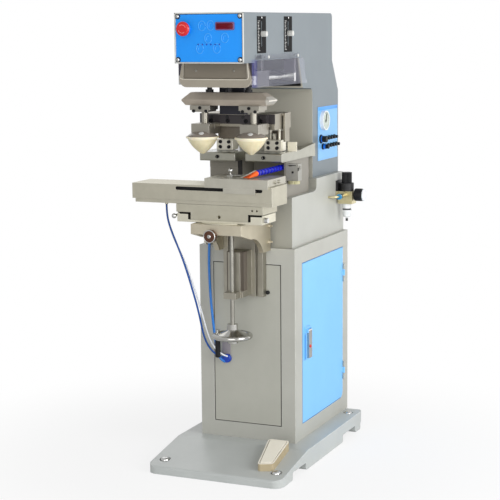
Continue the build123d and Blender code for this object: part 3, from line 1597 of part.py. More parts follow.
def frl_body():
    depth = (frl_y - frl_half_depth, frl_y + frl_half_depth)
    bracket = block((neck_half_width, frl_x[0]),
                    (frl_y - frl_bracket_half_depth, frl_y + frl_bracket_half_depth),
                    frl_bracket_z)
    body = block(frl_x, depth, frl_body_z)
    bonnet = rod(frl_bonnet_radius, (frl_axis_x, frl_y, frl_body_z[1]), (frl_axis_x, frl_y, frl_bonnet_top))
    bonnet -= rod(frl_spindle_radius + running,
                  (frl_axis_x, frl_y, frl_bonnet_top - frl_spindle_depth - gap),
                  (frl_axis_x, frl_y, frl_bonnet_top + cut))
    thread_z = (frl_body_z[0] + frl_body_z[1]) / 2
    body -= rod(inlet_thread_radius, (frl_axis_x, depth[1] - inlet_thread_depth, thread_z),
                (frl_axis_x, depth[1] + cut, thread_z))
    save("frl_body", bracket, body, bonnet)


def frl_bowl():
    top = frl_body_z[0]
    bowl = rod(bowl_radius, (frl_axis_x, frl_y, bowl_bottom), (frl_axis_x, frl_y, top))
    bowl = fillet(bowl.edges().group_by(Axis.Z)[0], bowl_radius / 2.5)
    ring = rod(bowl_radius + bowl_ring, (frl_axis_x, frl_y, bowl_ring_z[0]),
               (frl_axis_x, frl_y, bowl_ring_z[1]))
    ring -= rod(bowl_radius, (frl_axis_x, frl_y, bowl_ring_z[0] - cut),
                (frl_axis_x, frl_y, bowl_ring_z[1] + cut))
    drain = rod(drain_radius, (frl_axis_x, frl_y, drain_bottom), (frl_axis_x, frl_y, bowl_bottom))
    save("frl_bowl", bowl, ring, drain)


def frl_knob():
    low = frl_bonnet_top + gap
    knob = fluted(frl_knob_radius, (frl_axis_x, frl_y, low), (0, 0, 1), frl_knob_top - low, 24)
    knob += rod(frl_spindle_radius, (frl_axis_x, frl_y, frl_bonnet_top - frl_spindle_depth),
                (frl_axis_x, frl_y, low))
    save("frl_knob", knob)


def air_elbow():
    x = frl_axis_x
    front = frl_y - frl_half_depth
    nipple_end = front - nipple_length
    collar_end = nipple_end - collar_length
    nipple = rod(nipple_radius, (x, nipple_end, nipple_z), (x, front, nipple_z))
    collar = rod(collar_radius, (x, collar_end, nipple_z), (x, nipple_end, nipple_z))
    corner_y = collar_end - elbow_bend - collar_length
    path = FilletPolyline((x, collar_end, nipple_z), (x, corner_y, nipple_z),
                          (neck_half_width, corner_y, nipple_z),
                          radius=elbow_bend)
    profile = Plane(origin=(x, collar_end, nipple_z), z_dir=(0, -1, 0)) * Circle(elbow_radius)
    save("air_elbow", nipple, collar, sweep(profile, path=path))


def pedal_profile(low, high_front, high_rear, x):
    """Pedal side outline in (Y, Z) between two offsets above the apron."""
    front = pedal_outline[0][1] - pedal_wall
    rear = pedal_outline[2][1] + pedal_wall
    points = [
        (front, apron_height(front) + low), (rear, apron_height(rear) + low),
        (rear, apron_height(rear) + high_rear), (front, apron_height(front) + high_front),
    ]
    return slab_x(points, x)


def pedal_plan(inset):
    """Pedal plan outline, drawn in by an inset."""
    return offset(outline(pedal_outline, pedal_corner), amount=-inset) if inset else outline(pedal_outline,
                                                                                             pedal_corner)


def pedal_column(inset):
    """Upright prism over the pedal's plan outline."""
    return extrude(pedal_plan(inset), head_top / 4)


def pedal_pin():
    """Centre height of the treadle's pin."""
    return apron_height(pedal_pivot_y) + pedal_rise_front + pedal_proud - pedal_treadle_thickness / 2


def pedal_base():
    x = (pedal_outline[3][0] - cut, pedal_outline[1][0] + cut)
    rear = pedal_outline[2][1]
    body = pedal_column(0) & pedal_profile(0, pedal_rise_front, pedal_rise_rear, x)
    floor = pedal_rise_front + pedal_proud - pedal_treadle_thickness - pedal_clearance
    floor_rear = pedal_rise_rear + pedal_proud - pedal_treadle_thickness - pedal_drop
    inside = pedal_column(pedal_wall)
    body -= inside & pedal_profile(floor, pedal_rise_front * 2, pedal_rise_rear * 2, x)
    body -= inside & slab_x([
        (pedal_pivot_y, apron_height(pedal_pivot_y) + floor), (rear, apron_height(rear) + floor_rear),
        (rear, apron_height(rear) + pedal_rise_rear),
        (pedal_pivot_y, apron_height(pedal_pivot_y) + pedal_rise_rear)], x)
    pin = rod(pedal_pin_radius, (x[0], pedal_pivot_y, pedal_pin()), (x[1], pedal_pivot_y, pedal_pin()))
    save("pedal_base", body + (pin & pedal_column(pedal_wall / 2)))


def pedal_treadle():
    x = (pedal_outline[3][0] - cut, pedal_outline[1][0] + cut)
    top_front = pedal_rise_front + pedal_proud
    top_rear = pedal_rise_rear + pedal_proud
    solid = pedal_profile(0, top_front, top_rear, x)
    solid -= pedal_profile(-cut, top_front - pedal_treadle_thickness, top_rear - pedal_treadle_thickness, x)
    solid -= rod(pedal_pin_radius + running, (x[0], pedal_pivot_y, pedal_pin()),
                 (x[1], pedal_pivot_y, pedal_pin()))
    save("pedal_treadle", pedal_column(pedal_wall + pedal_clearance) & solid)


def turn_radii(route):
    """Arc radius at each inner point of a route, from its shorter run and its turn."""
    points = [Vector(*place) for place in route]
    radii = []
    for before, here, after in zip(points, points[1:], points[2:]):
        turn = radians((here - before).get_angle(after - here))
        shorter = min((here - before).length, (after - here).length)
        radii.append(radius_share * shorter / tan(turn / 2))
    return radii


def hose(name, route, radius):
    """Free hose along its route: straight runs joined by tangent arcs."""
    radii = turn_radii(route)
    path = FilletPolyline(*route, radius=radii)
    direction = Vector(*route[1]) - Vector(*route[0])
    tube = sweep(Plane(origin=route[0], z_dir=direction) * Circle(radius), path=path)
    length = path.length
    share = tube.volume / (pi * radius ** 2 * length)
    print(name, "length", round(length, 1), "smallest radius", round(min(radii), 1), "volume share",
          round(share, 4))
    save(name, tube)


def beam_fittings():
    """Fittings for the two hoses under the shuttle beam."""
    pieces = []
    for route, radius in ((shuttle_blue_route, hose_blue_radius), (shuttle_white_route, hose_white_radius)):
        end = Vector(*route[0])
        pieces.append(rod(radius * fitting_share, end, (end.X, end.Y, cross_z[1] + gap)))
    return pieces


def hose_fittings():
    start = Vector(*neck_blue_route[0])
    corner = (start.X, start.Y, start.Z + neck_fitting_length)
    elbow = rod(hose_fitting_radius, start, corner)
    middle = (start.X, start.Y, start.Z + neck_fitting_length / 2)
    elbow += rod(hose_fitting_radius, middle, (start.X, neck_setback, middle[2]))
    grommet = rod(grommet_radius, (grommet_x, -hose_fitting_length, grommet_z),
                  (grommet_x, sheet, grommet_z))
    grommet = fillet(grommet.edges().group_by(Axis.Y)[0], grommet_radius / 4)
    save("hose_fittings", elbow, grommet)


base_casting()
levelling_bolts()
cabinet_shell()
front_access_panel()
side_door()
door_handle()
valve_manifold()
power_inlet()
neck_casting()
table_pedestal()
cliche_table()
cliche_plates()
side_stop_plate()
nozzle_valve_block()
nozzle_valve_knob()
air_nozzle()
head_frame()
control_panel_plate()
estop_button()
chin_cover()
scale_plates()
stroke_knob("stroke_knob_front", stroke_slot_y[0])
stroke_knob("stroke_knob_rear", stroke_slot_y[1])
side_guard()
carriage_rails()
carriage_block()
carriage_cylinder()
pad_bar()
pad_holders()
silicone_pad("pad_left", sides[0])
silicone_pad("pad_right", sides[1])
blade_arm()
blade_head("blade_head_left", sides[0])
blade_head("blade_head_right", sides[1])
shuttle_beam()
shuttle_plate()
fixture_clamp()
cross_slide()
lower_slide()
slide_clamp_lever()
slide_clamp_knob()
knee_casting()
knee_clamp_knob()
knee_guide()
lead_screw()
handwheel()
handwheel_handle()
air_panel()
pressure_gauges()
flow_valves()
frl_body()
frl_bowl()
frl_knob()
air_elbow()
pedal_base()
pedal_treadle()
hose_fittings()
hose("hose_shuttle_blue", shuttle_blue_route, hose_blue_radius)
hose("hose_shuttle_white", shuttle_white_route, hose_white_radius)
hose("hose_neck_blue", neck_blue_route, hose_neck_radius)
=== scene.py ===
"""Pad printing machine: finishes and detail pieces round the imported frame.

Places and sizes are in millimetres, in the frame of the CAD, and mm() turns them to metres. The studio is
in metres and watts. A turned piece's profile lists radius and height along its axis, from axis to axis.
"""
import math
import bmesh
import bpy
from mathutils import Matrix, Vector


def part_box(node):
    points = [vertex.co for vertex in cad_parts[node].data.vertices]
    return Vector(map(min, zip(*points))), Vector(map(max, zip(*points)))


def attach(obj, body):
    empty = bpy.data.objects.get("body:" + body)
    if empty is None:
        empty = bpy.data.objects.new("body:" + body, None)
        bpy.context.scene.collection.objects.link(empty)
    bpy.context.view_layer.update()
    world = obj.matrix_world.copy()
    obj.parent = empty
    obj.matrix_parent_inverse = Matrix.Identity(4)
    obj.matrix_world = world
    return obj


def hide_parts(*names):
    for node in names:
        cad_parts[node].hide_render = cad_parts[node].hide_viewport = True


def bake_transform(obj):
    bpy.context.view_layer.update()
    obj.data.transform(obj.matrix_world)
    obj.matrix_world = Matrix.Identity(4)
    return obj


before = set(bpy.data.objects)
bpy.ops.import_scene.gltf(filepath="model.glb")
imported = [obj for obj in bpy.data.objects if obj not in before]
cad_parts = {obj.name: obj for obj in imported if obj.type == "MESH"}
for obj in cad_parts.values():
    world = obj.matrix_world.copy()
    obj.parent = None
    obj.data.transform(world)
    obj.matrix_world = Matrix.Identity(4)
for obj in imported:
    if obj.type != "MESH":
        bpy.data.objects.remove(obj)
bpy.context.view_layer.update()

# Camera: its place, its axes, and its focal length, sensor width and furthest view
camera_place = (1781, -4024, 1336)
camera_right = (0.91593, 0.40123, -0.00900)
camera_up = (-0.05302, 0.14322, 0.98827)
camera_back = (0.39781, -0.90471, 0.15245)
camera_lens = 104.3
camera_sensor = 36
camera_reach = 60

# Studio lamps: name, place, aim, size and power
lamps = (
    ("key", (3.4, -0.9, 1.5), (0, 0.1, 0.7), 2.2, 76),
    ("fill", (1.4, -4.4, 1.5), (0, 0, 0.8), 3.0, 64),
    ("side", (2.5, 3.8, 1.3), (0, 0.1, 0.9), 3.0, 30),
    ("rear", (-2.4, 3.4, 3.0), (0, 0.2, 0.8), 3.0, 22),
)

# Background: its strength as light, and how far gloss sees it between that and full white
ambient_level = 0.44
gloss_share = 0.55

# Floor: its half width, and how the glow that the camera sees rises with the distance from the middle
floor_half = 12.0
floor_fade = (0.45, 1.3)
floor_glow = (0.78, 1.0)

# Hoses: the same route points as the part's source
blue_radius = 3.0
white_radius = 2.5
neck_radius = 4.0
blue_route = (
    (-201, -140, 808), (-201, -140, 785), (-197, -138, 753), (-186, -133, 716), (-172, -126, 676),
    (-159, -118, 634), (-148, -110, 590), (-138, -100, 541), (-129, -89, 492), (-124, -78, 448),
    (-122, -66, 406), (-117, -54, 372), (-107, -41, 345), (-94, -28, 327), (-84, -18, 319), (-77, -8, 317),
)
white_route = (
    (-205, -131, 808), (-205, -131, 780), (-200, -129, 746), (-189, -125, 708), (-173, -118, 668),
    (-157, -110, 628), (-144, -102, 584), (-132, -93, 536), (-121, -83, 488), (-114, -73, 444),
    (-108, -62, 404), (-100, -51, 370), (-89, -39, 345), (-78, -27, 331), (-70, -17, 323), (-64, -8, 319),
)
neck_route = (
    (-122, -8, 694), (-122, -9, 668), (-122, -12, 634), (-121, -14, 590), (-119, -15, 542),
    (-116, -15, 492), (-112, -14, 444), (-108, -13, 402), (-103, -12, 364), (-96, -12, 330),
    (-86, -11, 307), (-73, -8, 301),
)
tube_sides = 20
spline_steps = 8

# Materials by their plain names, because the frame has materials of its own
finishes = {}

# Directions that screws and dials look in
forward = (0, -1, 0)
backward = (0, 1, 0)
rightward = (1, 0, 0)
upward = (0, 0, 1)

# Faces that added pieces sit on
panel_face = -292.0
scale_face = 127.0
air_panel_face = 128.0
carrier_face = -75

# Finishes: the noise that shade and grain fade between, patch sizes, depth of the enamel's peel, width of
# a metal's pale edge of wear and painted highlight, and the least share of a normal that counts as looking
# along an axis
patch_fade = (0.35, 0.65)
grain_fade = (0.3, 0.7)
enamel_patch = 140
metal_patch = 40
plastic_patch = 25
peel_depth = 0.03
metal_edge = 1.2
facing_limit = 0.6

# Edges of a piece stay sharp where they turn by more than this, in radians
sharp_angle = 0.6


def mm(value):
    """Millimetres to metres, for a number or a point."""
    if isinstance(value, (int, float)):
        return value / 1000
    return Vector([part / 1000 for part in value])


def linear(code):
    """sRGB hex code to the linear colour that a shader takes."""
    parts = [int(code[i:i + 2], 16) / 255 for i in (0, 2, 4)]
    return [p / 12.92 if p <= 0.04045 else ((p + 0.055) / 1.055) ** 2.4 for p in parts] + [1.0]


def add(tree, kind, inputs=None, **settings):
    """Adds a shader node with its settings, its values and the outputs linked to it."""
    node = tree.nodes.new("ShaderNode" + kind)
    for name, value in settings.items():
        setattr(node, name, value)
    for name, value in (inputs or {}).items():
        if isinstance(value, bpy.types.NodeSocket):
            tree.links.new(value, node.inputs[name])
        else:
            node.inputs[name].default_value = value
    return node


def finish(name, **sockets):
    """Makes a material and gives its tree and shader; sockets are the shader's constant values."""
    material = bpy.data.materials.new(name)
    finishes[name] = material
    material.use_nodes = True
    tree = material.node_tree
    shader = tree.nodes["Principled BSDF"]
    for key, value in sockets.items():
        shader.inputs[key.replace("_", " ")].default_value = value
    return tree, shader


def surface(tree, place, code, shade_code, patch, share):
    """Colour that drifts between two shades in patches of the given size in millimetres."""
    cloud = add(tree, "TexNoise", {"Vector": place, "Scale": 1000 / patch, "Detail": 4.0, "Roughness": 0.6})
    low, high = patch_fade
    amount = add(tree, "MapRange", {"Value": cloud.outputs["Fac"], "From Min": low, "From Max": high,
                                    "To Min": 0.0, "To Max": share})
    mix = add(tree, "Mix", {"Factor": amount.outputs["Result"], "A": linear(code), "B": linear(shade_code)},
              data_type="RGBA")
    return mix.outputs["Result"]


def relief(tree, shader, place, size, depth, detail=2.0):
    """Fine bump with its grain size and depth in millimetres; returns the grain and the bump."""
    grain = add(tree, "TexNoise",
                {"Vector": place, "Scale": 1000 / size, "Detail": detail, "Roughness": 0.55})
    bump = add(tree, "Bump", {"Height": grain.outputs["Fac"], "Strength": 1.0, "Distance": depth / 1000})
    tree.links.new(bump.outputs["Normal"], shader.inputs["Normal"])
    return grain.outputs["Fac"], bump


# Pale edges stand for wear and for painted highlight; the access panel's dark edges are painted seam shadow
def edge_wear_and_light(tree, shader, bump, colour, edge_code, width):
    """Edge colour where the rounded normal leaves the flat one, on a band of the width in millimetres."""
    softened = add(tree, "Bevel", {"Radius": width / 1000}, samples=4)
    flat = add(tree, "NewGeometry").outputs["Normal"]
    agree = add(tree, "VectorMath", {0: softened.outputs["Normal"], 1: flat}, operation="DOT_PRODUCT")
    tree.links.new(softened.outputs["Normal"], bump.inputs["Normal"])
    edges = add(tree, "MapRange", {"Value": agree.outputs["Value"], "From Min": 0.99, "From Max": 0.80,
                                   "To Min": 0.0, "To Max": 1.0})
    mixed = add(tree, "Mix", {"Factor": edges.outputs["Result"], "A": colour, "B": linear(edge_code)},
                data_type="RGBA")
    tree.links.new(mixed.outputs["Result"], shader.inputs["Base Color"])


def enamel(name, code, shade_code, edge_code, roughness, peel, edge=2.0):
    """Stoved enamel on filled castings and sheet: satin, with faint orange peel and pale edges of wear and
    painted highlight.
    """
    tree, shader = finish(name, Roughness=roughness, Metallic=0.0, IOR=1.5)
    place = add(tree, "TexCoord").outputs["Object"]
    colour = surface(tree, place, code, shade_code, enamel_patch, 0.5)
    bump = relief(tree, shader, place, peel, peel_depth)[1]
    edge_wear_and_light(tree, shader, bump, colour, edge_code, edge)


def metal(name, code, shade_code, roughness, grain, depth, stretch=(1, 1, 1), edge_code=None, metallic=1.0):
    """Bare metal: cast, ground or brushed by its grain size and how far the grain is drawn out."""
    tree, shader = finish(name, Metallic=metallic)
    place = add(tree, "TexCoord").outputs["Object"]
    drawn = add(tree, "Mapping", {"Vector": place, "Scale": stretch}).outputs["Vector"]
    colour = surface(tree, place, code, shade_code, metal_patch, 0.6)
    fine, bump = relief(tree, shader, drawn, grain, depth, 3.0)
    low, high = grain_fade
    spread = add(tree, "MapRange", {"Value": fine, "From Min": low, "From Max": high,
                                    "To Min": roughness - 0.06, "To Max": roughness + 0.08})
    tree.links.new(spread.outputs["Result"], shader.inputs["Roughness"])
    edge_wear_and_light(tree, shader, bump, colour, edge_code or code, metal_edge)


def plastic(name, code, shade_code, roughness, grain=0.8, depth=0.01, **sockets):
    """Moulded plastic or rubber: a faint mould texture and a soft sheen."""
    tree, shader = finish(name, Roughness=roughness, **sockets)
    place = add(tree, "TexCoord").outputs["Object"]
    colour = surface(tree, place, code, shade_code, plastic_patch, 0.5)
    relief(tree, shader, place, grain, depth)
    tree.links.new(colour, shader.inputs["Base Color"])


def both(tree, first, second):
    """Share where two shares meet."""
    return add(tree, "Math", {0: first, 1: second}, operation="MULTIPLY").outputs["Value"]


def within(tree, mirrored="", **ranges):
    """Share that is 1 inside a box of the part's frame: x=(low, high) and so on, in millimetres.

    A mirrored axis takes its range on both sides of the middle.
    """
    split = add(tree, "SeparateXYZ", {"Vector": add(tree, "TexCoord").outputs["Object"]})
    share = None
    for axis, (low, high) in ranges.items():
        value = split.outputs[axis.upper()]
        if axis in mirrored:
            value = add(tree, "Math", {0: value}, operation="ABSOLUTE").outputs["Value"]
        above = add(tree, "Math", {0: value, 1: mm(low)}, operation="GREATER_THAN").outputs["Value"]
        below = add(tree, "Math", {0: value, 1: mm(high)}, operation="LESS_THAN").outputs["Value"]
        inside = both(tree, above, below)
        share = both(tree, share, inside) if share else inside
    return share


def facing(tree, axis, sign):
    """Share that is 1 on faces that look along an axis, forwards or back by the sign."""
    normal = add(tree, "SeparateXYZ", {"Vector": add(tree, "NewGeometry").outputs["Normal"]}).outputs[axis]
    along = add(tree, "Math", {0: normal, 1: sign}, operation="MULTIPLY").outputs["Value"]
    return add(tree, "Math", {0: along, 1: facing_limit}, operation="GREATER_THAN").outputs["Value"]


def repaint(tree, share, code, roughness, metallic=0.0):
    """Another finish over the share of a material."""
    shader = tree.nodes["Principled BSDF"]
    for name, value, kind in (("Base Color", linear(code), "RGBA"), ("Roughness", roughness, "FLOAT"),
                              ("Metallic", metallic, "FLOAT")):
        socket = shader.inputs[name]
        before = socket.links[0].from_socket if socket.is_linked else socket.default_value
        mix = add(tree, "Mix", {"Factor": share, "A": before, "B": value}, data_type=kind)
        tree.links.new(mix.outputs["Result"], socket)


# Enamels: colour, patch shade, edge colour of wear and painted light, roughness, peel grain, edge width

# Grey-blue satin of the head and column, painted darker than the neck as the shade that falls on them
enamel("head_enamel", "747e84", "6c767c", "a0a9af", 0.40, 3.0, 2.5)
# Pale warm grey of the neck casting
enamel("neck_enamel", "b7b8b1", "adaea7", "e0e2de", 0.38, 3.0, 3.0)
# Warm grey of the table's pedestal, painted darker as the shade under the table
enamel("shaded_enamel", "8a867c", "7e7a70", "a8a498", 0.45, 3.0)
# Pale grey sheet metal with pale edges of wear and painted highlight
enamel("cabinet_enamel", "b7b7af", "ababa3", "dedfda", 0.40, 3.0, 3.0)
# The cabinet's grey with dark edges, the painted shadow of the access panel's seam
enamel("hatch_enamel", "b4b4aa", "a9a99f", "8a8a82", 0.42, 3.0)
# Cool light grey of the base casting, with broad pale edges of wear and painted highlight
enamel("base_enamel", "bfc3c1", "b4b8b6", "e4e8e8", 0.34, 4.0, 4.0)
# Light sky blue of the air panel, and the side door's copy painted brighter as it is more lit
enamel("sky_enamel", "76b8ee", "70b0e6", "b4dcff", 0.34, 3.0)
enamel("door_enamel", "80c8ff", "78c0fa", "b4dcff", 0.34, 3.0)
# Strong blue of the control panel
enamel("panel_blue", "0a98ff", "0890f6", "4aa8f8", 0.45, 1.5, 0.6)
# Warm grey-beige of the chin cover
enamel("chin_enamel", "a49c8d", "9a9283", "d8d2c4", 0.34, 2.0)
# Near-black of the carriage block
enamel("carriage_enamel", "3a3840", "302e36", "5c5a64", 0.45, 2.0)
# Pale frame round the control panel, and the chin cover's edge painted bright cream as its highlight
enamel("rim_enamel", "cfd0cc", "c4c5c0", "eceeec", 0.35, 2.0, 0.8)
enamel("trim_enamel", "d9d3c4", "cfc8b8", "f4f0e6", 0.25, 2.0, 0.6)
# Top of the pedal painted near-white cream as lit, and its sides painted a duller tan as shade
enamel("pedal_enamel", "fdf8ea", "f6f0de", "faf6e6", 0.35, 2.0)
enamel("pedal_side_shade", "c2b494", "9c8a68", "e4dcc0", 0.50, 1.2)
# Cream of the plate beside the table
enamel("cream_enamel", "efe9d4", "e6dfc8", "fbf8ea", 0.40, 1.5)

# Metals: colour, patch shade, roughness, size and depth of the grain, and how it is drawn out

# Ground table with fine lines along it and pale edges of wear and painted highlight
metal("ground_steel", "aeada2", "a09f94", 0.36, 0.5, 0.004, (0.06, 1, 1), edge_code="dddcd4")
# Smoother, cooler printing plates
metal("lapped_steel", "a6a8a8", "969898", 0.24, 0.4, 0.003, (1, 0.08, 1))
# Machined beam, shuttle plate, cross slide and lower slide: dull, edges bright with wear and painted
# highlight, the lowest painted palest as the most lit
metal("beam_alloy", "c4c0b0", "b8b4a4", 0.46, 0.9, 0.010, edge_code="e8e6dc")
metal("shuttle_alloy", "c1beb2", "b5b2a6", 0.46, 0.9, 0.010, edge_code="dedbd0")
metal("slide_alloy", "c5c1b0", "b9b5a4", 0.46, 0.9, 0.010, edge_code="dedbd0")
metal("gib_alloy", "e0dccb", "d4d0bf", 0.46, 0.9, 0.010, edge_code="e0ddd2")
# Creamy cast knee with a coarser grain
metal("knee_alloy", "cec6b2", "c2baa6", 0.48, 1.2, 0.014, edge_code="dedace")
# Duller, darker guide behind the knee
metal("guide_alloy", "a8a498", "9a968a", 0.48, 1.0, 0.012, edge_code="cfccc2")
# Brown-grey pad bar that is only half metallic
metal("bar_alloy", "a89e90", "9a9084", 0.45, 0.8, 0.008, (0.1, 1, 1), edge_code="dcd8ce",
                  metallic=0.25)
# Mid grey pad hangers and blade carrier
metal("hanger_alloy", "a29e93", "96928a", 0.40, 0.8, 0.008, edge_code="c4c0b8")
metal("carrier_alloy", "a09b8e", "948f84", 0.42, 0.8, 0.008, edge_code="c8c4ba")
# Brushed light alloy of the carriage's cylinder, the valve manifold and the nozzle's lip
metal("pale_alloy", "b8b6ac", "acaaa0", 0.40, 0.7, 0.008, (0.1, 1, 1), edge_code="e2e0d8")
# Mirror-bright screws, bolts, clamps and handles
metal("polished_steel", "c9c9c7", "bcbcba", 0.14, 0.6, 0.002)
# Bright, slightly warm handwheel
metal("wheel_chrome", "b9b8b3", "abaaa6", 0.16, 0.8, 0.003)
# Lead screw with fine turned lines
metal("turned_steel", "9e9c94", "8e8c84", 0.30, 0.35, 0.004, (1, 1, 0.1))
# Yellowish cast air elbow
metal("die_cast", "d2c9a4", "c4ba92", 0.30, 1.2, 0.01)
# Yellowish knob of the nozzle's valve
plastic("brass", "c0bb94", "a8a47c", 0.30)
# Palest brushed metal, on the blade heads
metal("blade_alloy", "e8e4d6", "dcd8ca", 0.42, 0.7, 0.008, (0.1, 1, 1), edge_code="e2e0d8")
# Dull grey block of the nozzle's valve
plastic("valve_alloy", "9c9a92", "908e86", 0.40)
# Brown plate and blocks at the blades
plastic("spring_brown", "6a6256", "585046", 0.45)
# Pale satin stroke knobs and guard screws, and pale nuts as the painted highlight on each pad's dome
plastic("knob_steel", "d8d8d4", "c4c4c0", 0.30)
# Copper brown knob under the knee
metal("copper_brown", "6e4f42", "5c4036", 0.34, 0.6, 0.006)
# Black socket screws with a dull gleam
metal("black_oxide", "2b2b2d", "1c1c1e", 0.42, 0.5, 0.004)
# Glossy brown-grey dome over each pad, a painted reflection of a chrome dome
plastic("pad_dome_reflection", "8f867c", "7c736a", 0.16)

# Plastics, rubbers and clear pieces: colour, patch shade, roughness, and grain where it isn't the usual one

# Black handles, knobs and marks with little sheen
plastic("black_abs", "141416", "0c0c0e", 0.50, Specular_IOR_Level=0.25)
# Flat black stroke scales
plastic("scale_black", "0c0c0e", "070708", 0.60, Specular_IOR_Level=0.12)
# Matt black gaps at the slide's gibs
plastic("wiper_rubber", "16140f", "0e0d0a", 0.70, Specular_IOR_Level=0.15)
# Mauve-grey plate where the hoses end
plastic("plate_grey", "928d92", "86818a", 0.40)
# Glossy red of the emergency stop and the lock's button, and pale red marks on the stop
plastic("red_abs", "d81c20", "cc171b", 0.22)
plastic("pale_red", "ff9a92", "ff8a84", 0.35)
# Cream pads, soft to the eye by light that goes in a little way
plastic("silicone", "e8dfbd", "d2c69e", 0.42, 0.6, 0.006,
                   Subsurface_Weight=0.25, Subsurface_Radius=(0.004, 0.003, 0.002))
# Glossy blue and white shuttle hoses, and the hose beside the guide, lighter blue partly by painted
# highlight
plastic("blue_tube", "174f9e", "124288", 0.26)
plastic("white_tube", "e8ebf0", "dde1e8", 0.28)
plastic("neck_blue", "2b7bd0", "2370c2", 0.26)
# Deep blue nozzle segments, almost black joints between them, and the orange tip
plastic("segment_blue", "1420c8", "0e18a8", 0.30, Specular_IOR_Level=0.3)
plastic("joint_blue", "060a4a", "05083c", 0.5)
plastic("orange_abs", "ff6a1a", "f05a10", 0.35)
# Dark red display window in a mauve frame
plastic("display_window", "6a0018", "560012", 0.25, Specular_IOR_Level=0.2)
plastic("display_frame", "74507e", "68466f", 0.35)
# Paler blue rings of the membrane keys, and dark blue dots under them
plastic("key_print", "49aef9", "40a4f0", 0.35)
plastic("lamp_blue", "0b3fae", "0a3898", 0.20)
# Pale green-grey dial
plastic("gauge_dial", "b9c4bb", "a9b4ab", 0.30)
# Stronger blue band of the air panel, teal collar of the regulator's inlet, blue valve caps
plastic("band_blue", "2f9af5", "2890ec", 0.30)
plastic("collar_blue", "2f8fc4", "287fb2", 0.3)
plastic("cap_blue", "1d6fd6", "1862c2", 0.25)
# White graduations of the stroke scales
plastic("scale_white", "f2f2f0", "e8e8e6", 0.45)
# Clear guard with a faint grey-violet tint and a clean gloss
plastic("clear_acrylic", "a4a6b8", "989aae", 0.06, 30.0, 0.02, IOR=1.49, Alpha=0.15)
# Milky bowl that light passes a little
plastic("clear_bowl", "f4f6f6", "e8ebeb", 0.12, 12.0, 0.02, IOR=1.58, Alpha=0.85)

# Finishes of nodes that are painted over in part

# Bright rails of the carriage
metal("carriage_steel", "c4c4c2", "b8b8b6", 0.20, 0.6, 0.003)
# Yellowish cast body of the regulator
metal("regulator_cast", "d2c9a4", "c4ba92", 0.30, 1.2, 0.01)
# Bright fittings under the shuttle beam
metal("fitting_steel", "c9c9c7", "bcbcba", 0.16, 0.6, 0.002)
# White case of the large gauge
plastic("gauge_cases", "eef0f2", "e6e8ea", 0.28)

# Colours of the painted parts, with painted shadow in gaps and seams and a painted glint
screw_black = "121214"
moulded_black = "101012"
gap_shadow_black = "0c0b0a"
hatch_seam_shadow = "45433e"
door_seam_shadow = "3f86c8"
rail_glint = "a6a5b4"

# Height span of the head's front that is painted lighter as lit, under the panel
head_front_z = (800, 1239)

